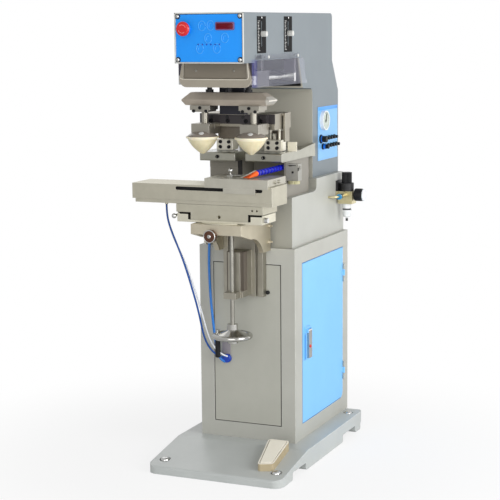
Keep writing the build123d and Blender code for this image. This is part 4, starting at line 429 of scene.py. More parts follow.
# Parts of a node in another finish: material, colour, roughness, metallic share and boxes
painted_parts = (
    # Slot along the shuttle beam, painted near-black as the shade inside it
    ("beam_alloy", gap_shadow_black, 0.7, 0.0, dict(mirrored="x", x=(-1, 141), y=(-199.6, -150), z=(859.3, 870.2))),
    # Posts and piston rod over the pad bar
    ("bar_alloy", "1a191c", 0.4, 0.4, dict(z=(1145.2, 1300))),
    # Screws on the pad hangers
    ("hanger_alloy", screw_black, 0.5, 0.4, dict(y=(-160, -153.1))),
    # Blade carrier: drop block and upper part of its cross plate painted dark as shade, and its screws
    ("carrier_alloy", "23242f", 0.5, 0.2, dict(x=(-45.4, 35.4), z=(1078, 1164))),
    ("carrier_alloy", "3c383a", 0.35, 0.3, dict(y=(-75.2, -60), z=(1049, 1077.6))),
    ("carrier_alloy", screw_black, 0.5, 0.0, dict(y=(-80, -75.2), z=(1041, 1077))),
    # Right end of the pad bar, with a painted highlight
    ("bar_alloy", "ccc8be", 0.3, 0.4, dict(x=(130, 143), z=(1110, 1145.2))),
    # Flange of the pads
    ("silicone", "f2ead0", 0.4, 0.0, dict(z=(1006, 1016))),
    # Screws on the blade heads
    ("blade_alloy", screw_black, 0.5, 0.0, dict(y=(19, 21.8))),
    # Painted shade: dark strip at the left edge of the pedestal's recess
    ("shaded_enamel", "1c1a18", 0.6, 0.0, dict(x=(-33, -9), y=(14, 20), z=(852, 934))),
    # Head's side behind the guard: painted shade of the dark inside, with painted glints of two rails
    ("head_enamel", "3a3842", 0.35, 0.0, dict(x=(120, 130), y=(-222, 118), z=(1168, 1233))),
    ("head_enamel", rail_glint, 0.35, 0.0, dict(x=(120, 130), y=(-77, 97), z=(1189, 1201))),
    ("head_enamel", rail_glint, 0.35, 0.0, dict(x=(120, 130), y=(-160, -112), z=(1206, 1212))),
    # Painted highlight along the guard's rear edge
    ("clear_acrylic", "ffffff", 0.2, 0.0, dict(y=(146, 152))),
    # Bars over the carriage's rails, painted dark as shade
    ("carriage_steel", "45414c", 0.45, 0.2, dict(z=(1196, 1300))),
    # Grooves of the knee guide and of its core, painted dark as the shade in them
    ("guide_alloy", "565048", 0.7, 0.0, dict(mirrored="x", x=(43.0, 47.0), y=(-26.6, -10), z=(500, 801))),
    ("guide_alloy", "5c544a", 0.6, 0.0, dict(mirrored="x", x=(19.8, 28.2), y=(-94.4, -60), z=(545.5, 700))),
    # Gaps at the gibs of the lower slide, painted black as shade
    ("gib_alloy", gap_shadow_black, 0.7, 0.0, dict(mirrored="x", x=(93, 98.2), y=(-194, -90), z=(771, 795))),
    # Black bonnet of the regulator
    ("regulator_cast", screw_black, 0.5, 0.0, dict(z=(802.2, 840))),
    # Black ring and drain of the bowl
    ("clear_bowl", moulded_black, 0.5, 0.0, dict(z=(740, 745)), dict(z=(700, 712.5))),
    # Blue fittings at the lower ends of the hoses
    ("fitting_steel", "0f3fae", 0.3, 0.0, dict(z=(290, 345))),
    # Black case of the regulator's gauge
    ("gauge_cases", moulded_black, 0.45, 0.0, dict(x=(140, 232.4), z=(760, 830))),
    # Access panel: painted shadow of the seam at its sides, lower and upper edge, and its lock
    ("hatch_enamel", hatch_seam_shadow, 0.6, 0.0, dict(mirrored="x", x=(111.0, 114)), dict(z=(100, 110.8))),
    ("hatch_enamel", hatch_seam_shadow, 0.6, 0.0, dict(z=(614.2, 620))),
    ("hatch_enamel", screw_black, 0.5, 0.0, dict(x=(65, 79), y=(-8, -2.3), z=(523, 537))),
    # Side door: painted shadow of the seam at its front, lower and upper edge
    ("door_enamel", door_seam_shadow, 0.4, 0.0, dict(y=(58, 61.4)), dict(z=(107, 110.4)), dict(z=(613.6, 617))),
    # Plate inside the chin cover's rim, painted darker as shade
    ("chin_enamel", "7c7466", 0.38, 0.0, dict(y=(-214.2, -200), z=(1187, 1241))),
    # Blue-violet front wall of the guard
    ("clear_acrylic", "7f84dc", 0.2, 0.0, dict(y=(-236, -231.8))),
)

node_finish = {
    "base_casting": "base_enamel", "levelling_bolts": "polished_steel", "cabinet_shell": "cabinet_enamel",
    "front_access_panel": "hatch_enamel", "side_door": "door_enamel", "door_handle": "polished_steel",
    "valve_manifold": "pale_alloy", "power_inlet": "black_abs", "neck_casting": "neck_enamel",
    "table_pedestal": "shaded_enamel", "cliche_table": "ground_steel", "cliche_plates": "lapped_steel",
    "side_stop_plate": "cream_enamel", "nozzle_valve_block": "valve_alloy", "nozzle_valve_knob": "brass",
    "air_nozzle": "segment_blue", "head_frame": "head_enamel", "control_panel_plate": "panel_blue",
    "estop_button": "red_abs", "chin_cover": "chin_enamel", "scale_plates": "scale_black",
    "stroke_knob_front": "knob_steel", "stroke_knob_rear": "knob_steel", "side_guard": "clear_acrylic",
    "carriage_rails": "carriage_steel", "carriage_block": "carriage_enamel",
    "carriage_cylinder": "pale_alloy",
    "pad_bar": "bar_alloy", "pad_holders": "hanger_alloy", "pad_left": "silicone", "pad_right": "silicone",
    "blade_arm": "carrier_alloy", "blade_head_left": "blade_alloy", "blade_head_right": "blade_alloy",
    "shuttle_beam": "beam_alloy", "shuttle_plate": "shuttle_alloy", "fixture_clamp": "polished_steel",
    "cross_slide": "slide_alloy", "lower_slide": "gib_alloy", "slide_clamp_lever": "polished_steel",
    "slide_clamp_knob": "polished_steel", "knee_casting": "knee_alloy", "knee_clamp_knob": "copper_brown",
    "knee_guide": "guide_alloy", "lead_screw": "turned_steel", "handwheel": "wheel_chrome",
    "handwheel_handle": "black_abs", "air_panel": "sky_enamel", "pressure_gauges": "gauge_cases",
    "flow_valves": "black_abs", "frl_body": "regulator_cast", "frl_bowl": "clear_bowl",
    "frl_knob": "black_abs",
    "air_elbow": "die_cast", "pedal_base": "pedal_side_shade", "pedal_treadle": "pedal_enamel",
    "hose_fittings": "fitting_steel",
}


def paint_parts():
    """Paints light and shade on the head's and neck's fronts and the pedal's top, then the boxed parts."""
    head, neck, pedal = [finishes[name].node_tree for name in ("head_enamel", "neck_enamel", "pedal_side_shade")]
    # Painted light: the head's forward faces lighter and warmer, the neck's darker, the pedal base's top
    # cream
    repaint(head, both(head, facing(head, "Y", -1), within(head, z=head_front_z)), "b4b1a4", 0.45)
    repaint(neck, facing(neck, "Y", -1), "a3a298", 0.42)
    repaint(pedal, facing(pedal, "Z", 1), "fdf8ea", 0.35)
    for name, colour, roughness, metallic, *boxes in painted_parts:
        tree = finishes[name].node_tree
        for box in boxes:
            repaint(tree, within(tree, **box), colour, roughness, metallic)


def dress_nodes():
    """Gives each CAD node its finish, in every material slot it has."""
    for node, name in node_finish.items():
        material = finishes[name]
        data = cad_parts[node].data
        if not data.materials:
            data.materials.append(material)
        for index in range(len(data.materials)):
            data.materials[index] = material


def link(name, data, body, material):
    """Adds an object to the scene, on a body when one is given, with its finish."""
    piece = bpy.data.objects.new(name, data)
    bpy.context.scene.collection.objects.link(piece)
    data.materials.append(finishes[material])
    if body:
        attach(piece, body)
    return piece


def route_curve(name, route, radius=0.0):
    """Smooth NURBS curve through a route's control points."""
    curve = bpy.data.curves.new(name, "CURVE")
    curve.dimensions = "3D"
    spline = curve.splines.new("NURBS")
    spline.points.add(len(route) - 1)
    for point, place in zip(spline.points, route):
        point.co = (*mm(place), 1.0)
    spline.order_u = 3
    spline.use_endpoint_u = True
    curve.resolution_u = spline_steps
    curve.bevel_depth = mm(radius)
    curve.bevel_resolution = 5
    curve.use_fill_caps = True
    return curve


def read_line(curve):
    """Points of a curve that has no bevel, in order."""
    helper = bpy.data.objects.new("route_line", curve)
    line = bpy.data.meshes.new_from_object(helper)
    points = [v.co.copy() for v in line.vertices]
    bpy.data.objects.remove(helper)
    bpy.data.meshes.remove(line)
    return points


def spokes(side, across, steps):
    """Directions round a circle, from its two axes."""
    turns = [2 * math.pi * step / steps for step in range(steps)]
    return [side * math.cos(turn) + across * math.sin(turn) for turn in turns]


def tube_rings(points, radius, steps):
    """Rings round a line's points, with a frame that does not twist, in the line's own unit."""
    side = None
    rings = []
    for index, point in enumerate(points):
        after, before = points[min(index + 1, len(points) - 1)], points[max(index - 1, 0)]
        ahead = (Vector(after) - Vector(before)).normalized()
        side = ahead.orthogonal() if side is None else side - ahead * side.dot(ahead)
        side.normalize()
        rings.append([Vector(point) + spoke * radius for spoke in spokes(side, ahead.cross(side), steps)])
    return rings


def skin(mesh, rings):
    """Faces between rings of equal count, and one over each end."""
    count = len(rings[0])
    for near, far in zip(rings, rings[1:]):
        for step in range(count):
            after = (step + 1) % count
            mesh.faces.new((near[step], near[after], far[after], far[step]))
    mesh.faces.new(rings[0])
    mesh.faces.new(rings[-1])


def sweep_tube(name, points, radius):
    """Closed mesh tube along points in metres, smooth but for its ends."""
    mesh = bmesh.new()
    rings = tube_rings(points, mm(radius), tube_sides)
    skin(mesh, [[mesh.verts.new(place) for place in ring] for ring in rings])
    bmesh.ops.recalc_face_normals(mesh, faces=mesh.faces)
    data = bpy.data.meshes.new(name)
    mesh.to_mesh(data)
    mesh.free()
    for face in data.polygons:
        face.use_smooth = len(face.vertices) == 4
    return data


def add_hoses():
    """The two shuttle hoses as tubes on no body; the neck hose stays with the cabinet."""
    for name, route, radius, material, slot in (
            ("hose_shuttle_blue", blue_route, blue_radius, "blue_tube", "hose_blue"),
            ("hose_shuttle_white", white_route, white_radius, "white_tube", "hose_white")):
        points = read_line(route_curve(name + "_line", route))
        tube = link(name + "_tube", sweep_tube(name, points, radius), None, material)
        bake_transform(tube)
        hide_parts(name)
    curve = route_curve("hose_neck_line", neck_route, neck_radius)
    line = read_line(route_curve("hose_neck_measure", neck_route))
    tube = link("hose_neck_blue_tube", curve, "frame", "neck_blue")
    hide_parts("hose_neck_blue")


def add_camera():
    """The photograph's view, from the camera's place and axes."""
    camera = bpy.data.objects.new("camera", bpy.data.cameras.new("camera"))
    bpy.context.scene.collection.objects.link(camera)
    turn = Matrix((camera_right, camera_up, camera_back)).transposed().to_4x4()
    camera.matrix_world = Matrix.Translation(mm(camera_place)) @ turn
    camera.data.lens = camera_lens
    camera.data.sensor_width = camera_sensor
    camera.data.clip_end = camera_reach
    bpy.context.scene.camera = camera


def add_lamp(name, place, aim, size, power):
    """Square soft lamp that looks at its aim."""
    lamp = bpy.data.lights.new(name, "AREA")
    lamp.energy = power
    lamp.size = size
    piece = bpy.data.objects.new(name, lamp)
    bpy.context.scene.collection.objects.link(piece)
    piece.location = place
    piece.rotation_euler = (Vector(aim) - Vector(place)).to_track_quat("-Z", "Y").to_euler()


def add_background():
    """White for the camera and for what shows through clear pieces, dimmer for gloss and as light."""
    world = bpy.data.worlds.new("studio")
    bpy.context.scene.world = world
    world.use_nodes = True
    tree = world.node_tree
    path = add(tree, "LightPath").outputs
    seen = add(tree, "Math", {0: path["Is Camera Ray"], 1: path["Is Transmission Ray"]}, operation="MAXIMUM")
    shine = add(tree, "Math", {0: path["Is Glossy Ray"], 1: gloss_share}, operation="MULTIPLY")
    shown = add(tree, "Math", {0: seen.outputs["Value"], 1: shine.outputs["Value"]}, operation="MAXIMUM")
    level = add(tree, "MapRange", {"Value": shown.outputs["Value"], "To Min": ambient_level, "To Max": 1.0})
    light = tree.nodes["Background"]
    light.inputs["Color"].default_value = (1, 1, 1, 1)
    tree.links.new(level.outputs["Result"], light.inputs["Strength"])


def add_floor():
    """Pale floor that keeps the object's soft shadow and fades to white away from it."""
    data = bpy.data.meshes.new("floor")
    corners = [(x * floor_half, y * floor_half, 0) for x, y in ((-1, -1), (1, -1), (1, 1), (-1, 1))]
    data.from_pydata(corners, [], [(0, 1, 2, 3)])
    floor = bpy.data.objects.new("floor", data)
    bpy.context.scene.collection.objects.link(floor)
    # Matt near-white paint under the glow
    tree, shader = finish("pale_floor", Base_Color=linear("f4f4f4"), Roughness=0.9)
    glow = add(tree, "Emission", {"Color": (1, 1, 1, 1), "Strength": 1.0})
    camera_ray = add(tree, "LightPath").outputs["Is Camera Ray"]
    place = add(tree, "TexCoord").outputs["Object"]
    away = add(tree, "VectorMath", {0: place}, operation="LENGTH").outputs["Value"]
    fade = add(tree, "MapRange", {"Value": away, "From Min": floor_fade[0], "From Max": floor_fade[1],
                                  "To Min": floor_glow[0], "To Max": floor_glow[1]},
               interpolation_type="SMOOTHSTEP").outputs["Result"]
    share = add(tree, "Math", {0: camera_ray, 1: fade}, operation="MULTIPLY").outputs["Value"]
    mix = add(tree, "MixShader", {0: share, 1: shader.outputs["BSDF"], 2: glow.outputs["Emission"]})
    tree.links.new(mix.outputs["Shader"], tree.nodes["Material Output"].inputs["Surface"])
    data.materials.append(finishes["pale_floor"])


def add_studio():
    """Background, floor and lamps, shown without a film look."""
    add_background()
    add_floor()
    for name, place, aim, size, power in lamps:
        add_lamp(name, place, aim, size, power)
    bpy.context.scene.view_settings.view_transform = "Standard"


def put_box(mesh, low, high, bevel=0.0):
    """Box whose edges are rounded where it has a bevel."""
    low, high = Vector(mm(low)), Vector(mm(high))
    made = bmesh.ops.create_cube(mesh, size=1.0)
    size = high - low
    place = Matrix.Translation((low + high) / 2) @ Matrix.Diagonal((*size, 1.0))
    bmesh.ops.transform(mesh, matrix=place, verts=made["verts"])
    if bevel:
        edges = list({edge for vert in made["verts"] for edge in vert.link_edges})
        bmesh.ops.bevel(mesh, geom=edges, offset=mm(bevel), segments=3, affect="EDGES", profile=0.5)


def put_turned(mesh, profile, base, axis, steps=40):
    """Turned piece along an axis from its base; the profile starts and ends on that axis."""
    out = Vector(axis).normalized()
    side = out.orthogonal().normalized()
    directions = spokes(side, out.cross(side), steps)
    base = mm(base)
    rings = []
    for radius, height in profile:
        centre = base + out * mm(height)
        places = [centre + spoke * mm(radius) for spoke in directions] if radius > 0 else [centre]
        rings.append([mesh.verts.new(place) for place in places])
    for near, far in zip(rings, rings[1:]):
        for step in range(steps):
            after = (step + 1) % steps
            corners = [near[step % len(near)], near[after % len(near)],
                       far[after % len(far)], far[step % len(far)]]
            unique = list(dict.fromkeys(corners))
            if len(unique) > 2:
                mesh.faces.new(unique)


def put_tube(mesh, points, radius, steps):
    """Round bar along points."""
    rings = tube_rings(points, radius, steps)
    skin(mesh, [[mesh.verts.new(mm(place)) for place in ring] for ring in rings])


def put_prism(mesh, outline, front, back, bevel):
    """Outline in (X, Z), drawn out along Y, with rounded edges."""
    rings = [[mesh.verts.new(mm((x, y, z))) for x, z in outline] for y in (front, back)]
    skin(mesh, rings)
    edges = list({edge for ring in rings for vert in ring for edge in vert.link_edges})
    bmesh.ops.bevel(mesh, geom=edges, offset=mm(bevel), segments=2, affect="EDGES", profile=0.5)


def make(name, mesh, body, material):
    """Closes a mesh into a piece of the scene, smooth but for its sharp edges."""
    bmesh.ops.recalc_face_normals(mesh, faces=mesh.faces)
    for edge in mesh.edges:
        edge.smooth = not (len(edge.link_faces) == 2 and edge.calc_face_angle() > sharp_angle)
    data = bpy.data.meshes.new(name)
    mesh.to_mesh(data)
    mesh.free()
    for face in data.polygons:
        face.use_smooth = True
    return link(name, data, body, material)


def turned(name, profile, places, axis, steps, body, material):
    """One piece of like turned heads, one at each place."""
    mesh = bmesh.new()
    for place in places:
        put_turned(mesh, profile, place, axis, steps)
    return make(name, mesh, body, material)


def arc(centre, radius, start, end, steps, squeeze=1.0):
    """Points of an arc in the front plane, in degrees; the squeeze narrows it across."""
    x, y, z = centre
    turns = [math.radians(start + (end - start) * step / steps) for step in range(steps + 1)]
    return [(x + radius * squeeze * math.cos(turn), y, z + radius * math.sin(turn)) for turn in turns]


def rounded(left, low, right, high, radius, steps=5):
    """Corner-rounded rectangle outline."""
    points = []
    for x, z, start in ((right - radius, low + radius, -90), (right - radius, high - radius, 0),
                        (left + radius, high - radius, 90), (left + radius, low + radius, 180)):
        for k in range(steps + 1):
            turn = math.radians(start + 90 * k / steps)
            points.append((x + radius * math.cos(turn), z + radius * math.sin(turn)))
    return points


def put_socket_screw(mesh, base, axis, radius, height):
    """Cap screw head with a hollow socket, sunk a little into what it stands on."""
    sink = 1
    head_shares = ((1.0, 0.85), (0.9, 1.0), (0.5, 1.0), (0.5, 0.4), (0.0, 0.3))
    profile = [(0, -sink), (radius, -sink)]
    profile += [(radius * wide, height * tall) for wide, tall in head_shares]
    put_turned(mesh, profile, base, axis, 24)


def socket_screws(body, places, radius, height):
    """One piece of black socket screws that look forward."""
    mesh = bmesh.new()
    for place in places:
        put_socket_screw(mesh, place, forward, radius, height)
    make("black_screws_" + body, mesh, body, "black_oxide")


def add_panel_screws():
    """Black washers and bright screws at the panel's corners, and black shadow lines at its top and right.
    """
    corners = [(x, z) for x in (-78, 116) for z in (1244, 1366)]
    washer = [(0, 0), (8.0, 0), (8.0, 0.7), (7.2, 1.1), (0, 1.1)]
    screw = [(0, 0), (5.6, 0), (5.6, 1.6), (4.8, 3.0), (2.8, 3.9), (0, 4.2)]
    screw_lift = 1.0
    shadow_line_front, shadow_line_back = panel_face - 0.5, panel_face + 1.8
    shadow_line_right, shadow_line_top = 122.6, 1372.6
    shadow_line_lows = ((-84.6, 1371.2), (121.4, 1237.6))
    mesh = bmesh.new()
    for x, z in corners:
        put_turned(mesh, washer, (x, panel_face, z), forward)
    # Black boxes that paint the shadow between the panel and its rim
    for x, z in shadow_line_lows:
        put_box(mesh, (x, shadow_line_front, z), (shadow_line_right, shadow_line_back, shadow_line_top))
    make("panel_washers_and_shadow_lines", mesh, "frame", "black_abs")
    places = [(x, panel_face - screw_lift, z) for x, z in corners]
    turned("panel_screws", screw, places, forward, 40, "frame", "polished_steel")


def add_panel_rim():
    """Pale frame round the panel: two upright bars and two level ones."""
    x, inner_x = (-88.4, 126.2), (-84.8, 122.8)
    z, inner_z = (1233.6, 1376.2), (1237.4, 1372.8)
    front, back = -294.2, -289
    bevel = 0.8
    bars = (((x[0], inner_x[0]), z), ((inner_x[1], x[1]), z),
            (x, (z[0], inner_z[0])), (x, (inner_z[1], z[1])))
    mesh = bmesh.new()
    for (left, right), (low, high) in bars:
        put_box(mesh, (left, front, low), (right, back, high), bevel)
    make("panel_rim", mesh, "frame", "rim_enamel")


def add_display():
    """Frame and window of the display: outline, offsets of its front and back from the panel, and bevel."""
    pieces = (
        ("display_frame", (40.5, 1326.5, 99.0, 1349.5, 4.0), -3.2, 0.2, 0.6, "display_frame"),
        ("display_window", (44.0, 1330.0, 95.5, 1346.0, 2.5), -4.0, -3.0, 0.3, "display_window"),
    )
    for name, outline, front, back, bevel, material in pieces:
        mesh = bmesh.new()
        put_prism(mesh, rounded(*outline), panel_face + front, panel_face + back, bevel)
        make(name, mesh, "frame", material)


def add_keys():
    """Membrane keys, each a ring round an open arc, and a row of dots; the places of words stay bare."""
    centres = ((-2, 1339), (25, 1340), (17, 1304), (69, 1305), (-9, 1275), (44, 1276))
    print_y = panel_face - 0.15
    ring_radius, ring_squeeze, ring_line = 13.5, 0.8, 1.0
    arc_radius, arc_squeeze, arc_line, arc_drop = 7.0, 0.7, 0.8, 1
    ring_turn, arc_turn = (0, 345), (60, 210)
    dot = [(0, 0), (2.4, 0), (2.4, 0.6), (1.6, 1.4), (0, 1.7)]
    dot_x, dot_z, dot_pitch, dot_count = -14, 1287, 13.2, 6
    mesh = bmesh.new()
    for x, z in centres:
        put_tube(mesh, arc((x, print_y, z), ring_radius, *ring_turn, 30, ring_squeeze), ring_line, 8)
        put_tube(mesh, arc((x, print_y, z - arc_drop), arc_radius, *arc_turn, 12, arc_squeeze), arc_line, 8)
    make("membrane_keys", mesh, "frame", "key_print")
    places = [(dot_x + dot_pitch * step, panel_face, dot_z) for step in range(dot_count)]
    turned("panel_lamps", dot, places, forward, 16, "frame", "lamp_blue")


def add_estop():
    """Mushroom cap of the emergency stop, with two pale turning marks, and its stem."""
    low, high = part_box("estop_button")
    low, high = low * 1000, high * 1000
    x, z = (low.x + high.x) / 2, (low.z + high.z) / 2
    front = low.y
    cap_depth, stem_depth = 13.0, 12.5
    cap_profile = [(0, 0), (14.5, 0), (17.5, 1.2), (20.3, 5.0), (20.5, 8.0), (18.6, 11.2), (14.8, 12.6),
                   (9.5, 12.9), (0, 12.4)]
    stem_profile = [(0, 0), (10.8, 0), (10.8, 30), (0, 30)]
    mark_y, mark_radius, mark_line = front + 0.35, 11.5, 0.8
    mark_starts, mark_turn = (20, 200), 110
    cap = turned("estop_cap", cap_profile, [(x, front + cap_depth, z)], forward, 56, "estop",
                 "red_abs")
    mesh = bmesh.new()
    for start in mark_starts:
        put_tube(mesh, arc((x, mark_y, z), mark_radius, start, start + mark_turn, 14), mark_line, 8)
    make("estop_marks", mesh, "estop", "pale_red")
    turned("estop_stem", stem_profile, [(x, front + stem_depth, z)], backward, 32, "estop",
           "black_abs")
    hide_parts("estop_button")


def add_chin_trim():
    """Chin window's rolled edge, pale as painted highlight, its two screws and the guard's two screws."""
    edge_y = -215.2
    edge_radius = 1.5
    edge_line = ((-111.5, 1189.5), (-106, 1187), (-98, 1186), (98, 1186), (103.5, 1187.2), (106.8, 1192),
                 (102.5, 1236))
    chin_screw = [(0, 0), (3.6, 0), (3.6, 1.0), (2.4, 2.2), (0, 2.4)]
    chin_places = [(x, -213.0, 1211) for x in (-60, 60)]
    guard_screw = [(0, 0), (4.4, 0), (4.4, 1.4), (3.2, 2.4), (0, 2.6)]
    guard_places = [(142.0, y, 1249) for y in (-151, 76)]
    mesh = bmesh.new()
    put_tube(mesh, [(x, edge_y, z) for x, z in edge_line], edge_radius, 10)
    make("chin_trim", mesh, "frame", "trim_enamel")
    turned("chin_screws", chin_screw, chin_places, forward, 20, "frame", "turned_steel")
    turned("guard_screws", guard_screw, guard_places, rightward, 20, "frame", "knob_steel")


def add_stroke_scales():
    """White graduations beside the slots of the two stroke scales, and a white dot over each."""
    plate_fronts = (-197.0, 5.0)
    low, pitch, count, width = 1267, 4.2, 21, 1.0
    inset, short, long, long_every = 4, 9.0, 15.0, 5
    back, front = scale_face - 0.1, scale_face + 0.35
    dot = [(0, 0), (2.8, 0), (2.5, 0.8), (0, 1.0)]
    dot_x, dot_inset, dot_z = scale_face + 0.6, 32, 1361
    mesh = bmesh.new()
    for plate_front in plate_fronts:
        start = plate_front + inset
        for step in range(count):
            reach = long if step % long_every == 0 else short
            z = low + step * pitch
            put_box(mesh, (back, start, z), (front, start + reach, z + width))
        put_turned(mesh, dot, (dot_x, plate_front + dot_inset, dot_z), rightward, 16)
    make("scale_ticks", mesh, "frame", "scale_white")


def add_blade_details(body, middle):
    """Screws of one blade head, and the brown spring block with its boss behind it."""
    screw_y, screw_radius, screw_height = 22, 5.0, 3.0
    screw_places = [(middle + x, screw_y, z) for x in (-15, 15) for z in (972, 987)]
    block_half, block_y, block_z, block_bevel = 25, (50, 57), (994.6, 1022), 1.5
    boss = [(0, 0), (8, 0), (8, 14), (0, 14)]
    boss_place = (middle - 14, block_y[1], 1008)
    socket_screws(body, screw_places, screw_radius, screw_height)
    mesh = bmesh.new()
    put_box(mesh, (middle - block_half, block_y[0], block_z[0]),
            (middle + block_half, block_y[1], block_z[1]), block_bevel)
    put_turned(mesh, boss, boss_place, forward, 24)
    make("pressure_spring_" + body, mesh, body, "spring_brown")


def add_tooling_details():
    """Splash plate, black socket screws on hangers, carrier and table, and the blade heads' details."""
    hanger_y, hanger_middle, hanger_spread = -153, 79, 20
    upper_z, lower_z = 1100, 1090.5
    hanger_places = []
    for side in (-1, 1):
        x = side * hanger_middle
        hanger_places += [(x, hanger_y, upper_z), (x - hanger_spread, hanger_y, lower_z),
                          (x + hanger_spread, hanger_y, lower_z)]
    carrier_places = [(x, carrier_face, 1058) for x in (-80, -24, 35, 84)]
    table_places = [(x, -40, 946.5) for x in (-76, 76)]
    # Radius and height of each kind of screw head
    hanger_head, carrier_head, table_head = (4.8, 2.4), (6.0, 4.0), (5.4, 4.6)
    splash_low, splash_high, splash_bevel = (-63, -60.8, 1004), (12, -58.8, 1041.6), 0.6
    mesh = bmesh.new()
    put_box(mesh, splash_low, splash_high, splash_bevel)
    make("splash_plate", mesh, "carriage", "spring_brown")
    socket_screws("pad_unit", hanger_places, *hanger_head)
    socket_screws("carriage", carrier_places, *carrier_head)
    socket_screws("frame", table_places, *table_head)
    for body, middle in (("blade_left", -80), ("blade_right", 80)):
        add_blade_details(body, middle)


def add_pad_backings():
    """Dome between each pad and its holder in a painted reflection, and a pale nut as its painted highlight.
    """
    dome = [(0, 0), (44, 0), (45, 1.2), (43, 3.4), (34, 9.0), (24, 13.5), (16, 15.2), (0, 15.4)]
    dome_y, dome_z = -137, 1015.2
    nut = [(0, 0), (8.5, 0), (8.0, 1.6), (5.0, 3.4), (0, 4.2)]
    nut_offset, nut_y, nut_z = 9, -165, 1024.8
    nut_axis = (0, -0.5, 0.86)
    for name, x in (("left", -79), ("right", 79)):
        turned("pad_backing_" + name, dome, [(x, dome_y, dome_z)], upward, 64, "pad_unit",
               "pad_dome_reflection")
        turned("pad_highlight_nut_" + name, nut, [(x + nut_offset, nut_y, nut_z)], nut_axis, 28, "pad_unit",
               "knob_steel")


def add_air_panel():
    """Stronger blue band, gauge dial and the blue caps of the two flow valves."""
    band_y, band_z = (283.6, 457.4), (1070, 1080.6)
    band_back, band_front, band_bevel = air_panel_face - 0.2, air_panel_face + 0.5, 0.2
    caps = (
        ([(0, 0), (10.8, 0), (11.2, 2), (11.2, 8), (0, 8)], (air_panel_face, 303, 979)),
        ([(0, 0), (7.8, 0), (8.2, 2), (8.2, 12), (0, 12)], (air_panel_face, 321, 954)),
    )
    mesh = bmesh.new()
    put_box(mesh, (band_back, band_y[0], band_z[0]), (band_front, band_y[1], band_z[1]), band_bevel)
    make("air_panel_band", mesh, "frame", "band_blue")
    add_large_dial()
    mesh = bmesh.new()
    for profile, place in caps:
        put_turned(mesh, profile, place, rightward, 32)
    make("valve_cap_collars", mesh, "frame", "cap_blue")


def add_air_fittings():
    """Slots and bore of the nozzle's valve block as black painted shade, and the regulator inlet's blue
    collar.
    """
    slot_y, slot_bevel = (15.6, 16.6), 0.3
    slots = (((134, 919.6), (158, 921.6)), ((164, 904), (167, 914)))
    bore = [(0, 0), (3.0, 0), (3.0, 0.6), (0, 0.6)]
    bore_place = (148, 16.1, 900)
    collar = [(0, 0), (8.7, 0), (9.0, 0.6), (9.0, 6), (0, 6)]
    collar_place = (175, 345, 790)
    mesh = bmesh.new()
    for (left, low), (right, high) in slots:
        put_box(mesh, (left, slot_y[0], low), (right, slot_y[1], high), slot_bevel)
    put_turned(mesh, bore, bore_place, forward, 20)
    make("valve_block_marks", mesh, "frame", "black_abs")
    turned("inlet_collar", collar, [collar_place], backward, 32, "frame", "collar_blue")


def add_large_dial():
    """Dial with graduations and a needle, inside the large gauge's case."""
    y, z, radius = 326, 1037, 31.0
    reach = radius - 3.0
    plate_x, hub_x = air_panel_face + 9.0, air_panel_face + 9.8
    mark_x, needle_x = hub_x + 0.1, hub_x + 0.7
    plate = [(0, 0), (reach, 0), (reach, 0.8), (0, 0.8)]
    hub = [(0, 0), (radius * 0.12, 0), (radius * 0.12, 1.4), (0, 1.8)]
    # Each mark: place along X, angle, start and end as shares of the reach, line radius and sides
    marks = [(mark_x, -45 + 270 * step / 20, 0.84 if step % 5 else 0.74, 0.93, radius * 0.012, 6)
             for step in range(21)]
    marks.append((needle_x, 72, -0.25, 0.8, radius * 0.035, 8))
    turned("large_gauge_dial", plate, [(plate_x, y, z)], rightward, 56, "frame", "gauge_dial")
    mesh = bmesh.new()
    for x, angle, start, end, line, sides in marks:
        turn = math.radians(angle)
        points = [(x, y + reach * share * math.cos(turn), z + reach * share * math.sin(turn))
                  for share in (start, end)]
        put_tube(mesh, points, line, sides)
    put_turned(mesh, hub, (hub_x, y, z), rightward, 20)
    make("large_gauge_marks", mesh, "frame", "black_abs")


def add_nozzle_hose(start, end):
    """Segmented blue hose of ball-like segments, with a dark joint between each two."""
    count = 12
    segment = ((4.8, 0.0), (5.0, 0.14), (8.2, 0.26), (9.0, 0.50), (8.6, 0.74), (5.2, 0.86), (4.8, 0.98))
    joint = [(0, -1.6), (6.6, -1.6), (6.6, 1.6), (0, 1.6)]
    ahead = end - start
    pitch = ahead.length / count
    profile = [(0, 0)]
    for index in range(count):
        profile += [(radius, index * pitch + pitch * share) for radius, share in segment]
    profile.append((0, ahead.length))
    hose = turned("nozzle_hose", profile, [start], ahead, 28, "frame", "segment_blue")
    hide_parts("air_nozzle")
    places = [start + ahead * (index / count) for index in range(1, count)]
    turned("nozzle_joints", joint, places, ahead, 24, "frame", "joint_blue")


def add_nozzle_mouth(end, tip):
    """Orange nozzle that turns from round to flat: share of its length, half width and half height."""
    sections = ((-0.06, 6.4, 6.4), (0.0, 7.8, 7.8), (0.14, 8.2, 8.0), (0.30, 8.6, 7.0), (0.62, 11.0, 4.0),
                (0.92, 13.0, 1.6), (1.0, 13.0, 1.2))
    steps = 24
    squareness = 0.7
    aim = (tip - end).normalized()
    across = aim.cross(Vector(upward)).normalized()
    rise = across.cross(aim)
    turns = [2 * math.pi * step / steps for step in range(steps)]
    mesh = bmesh.new()
    rings = []
    for share, wide, tall in sections:
        centre = end + (tip - end) * share
        power = 1 - squareness * max(0.0, share)
        ring = []
        for turn in turns:
            side, height = [math.copysign(abs(part) ** power, part)
                            for part in (math.cos(turn), math.sin(turn))]
            ring.append(mesh.verts.new(mm(centre + across * side * wide + rise * height * tall)))
        rings.append(ring)
    skin(mesh, rings)
    make("nozzle_mouth", mesh, "frame", "orange_abs")


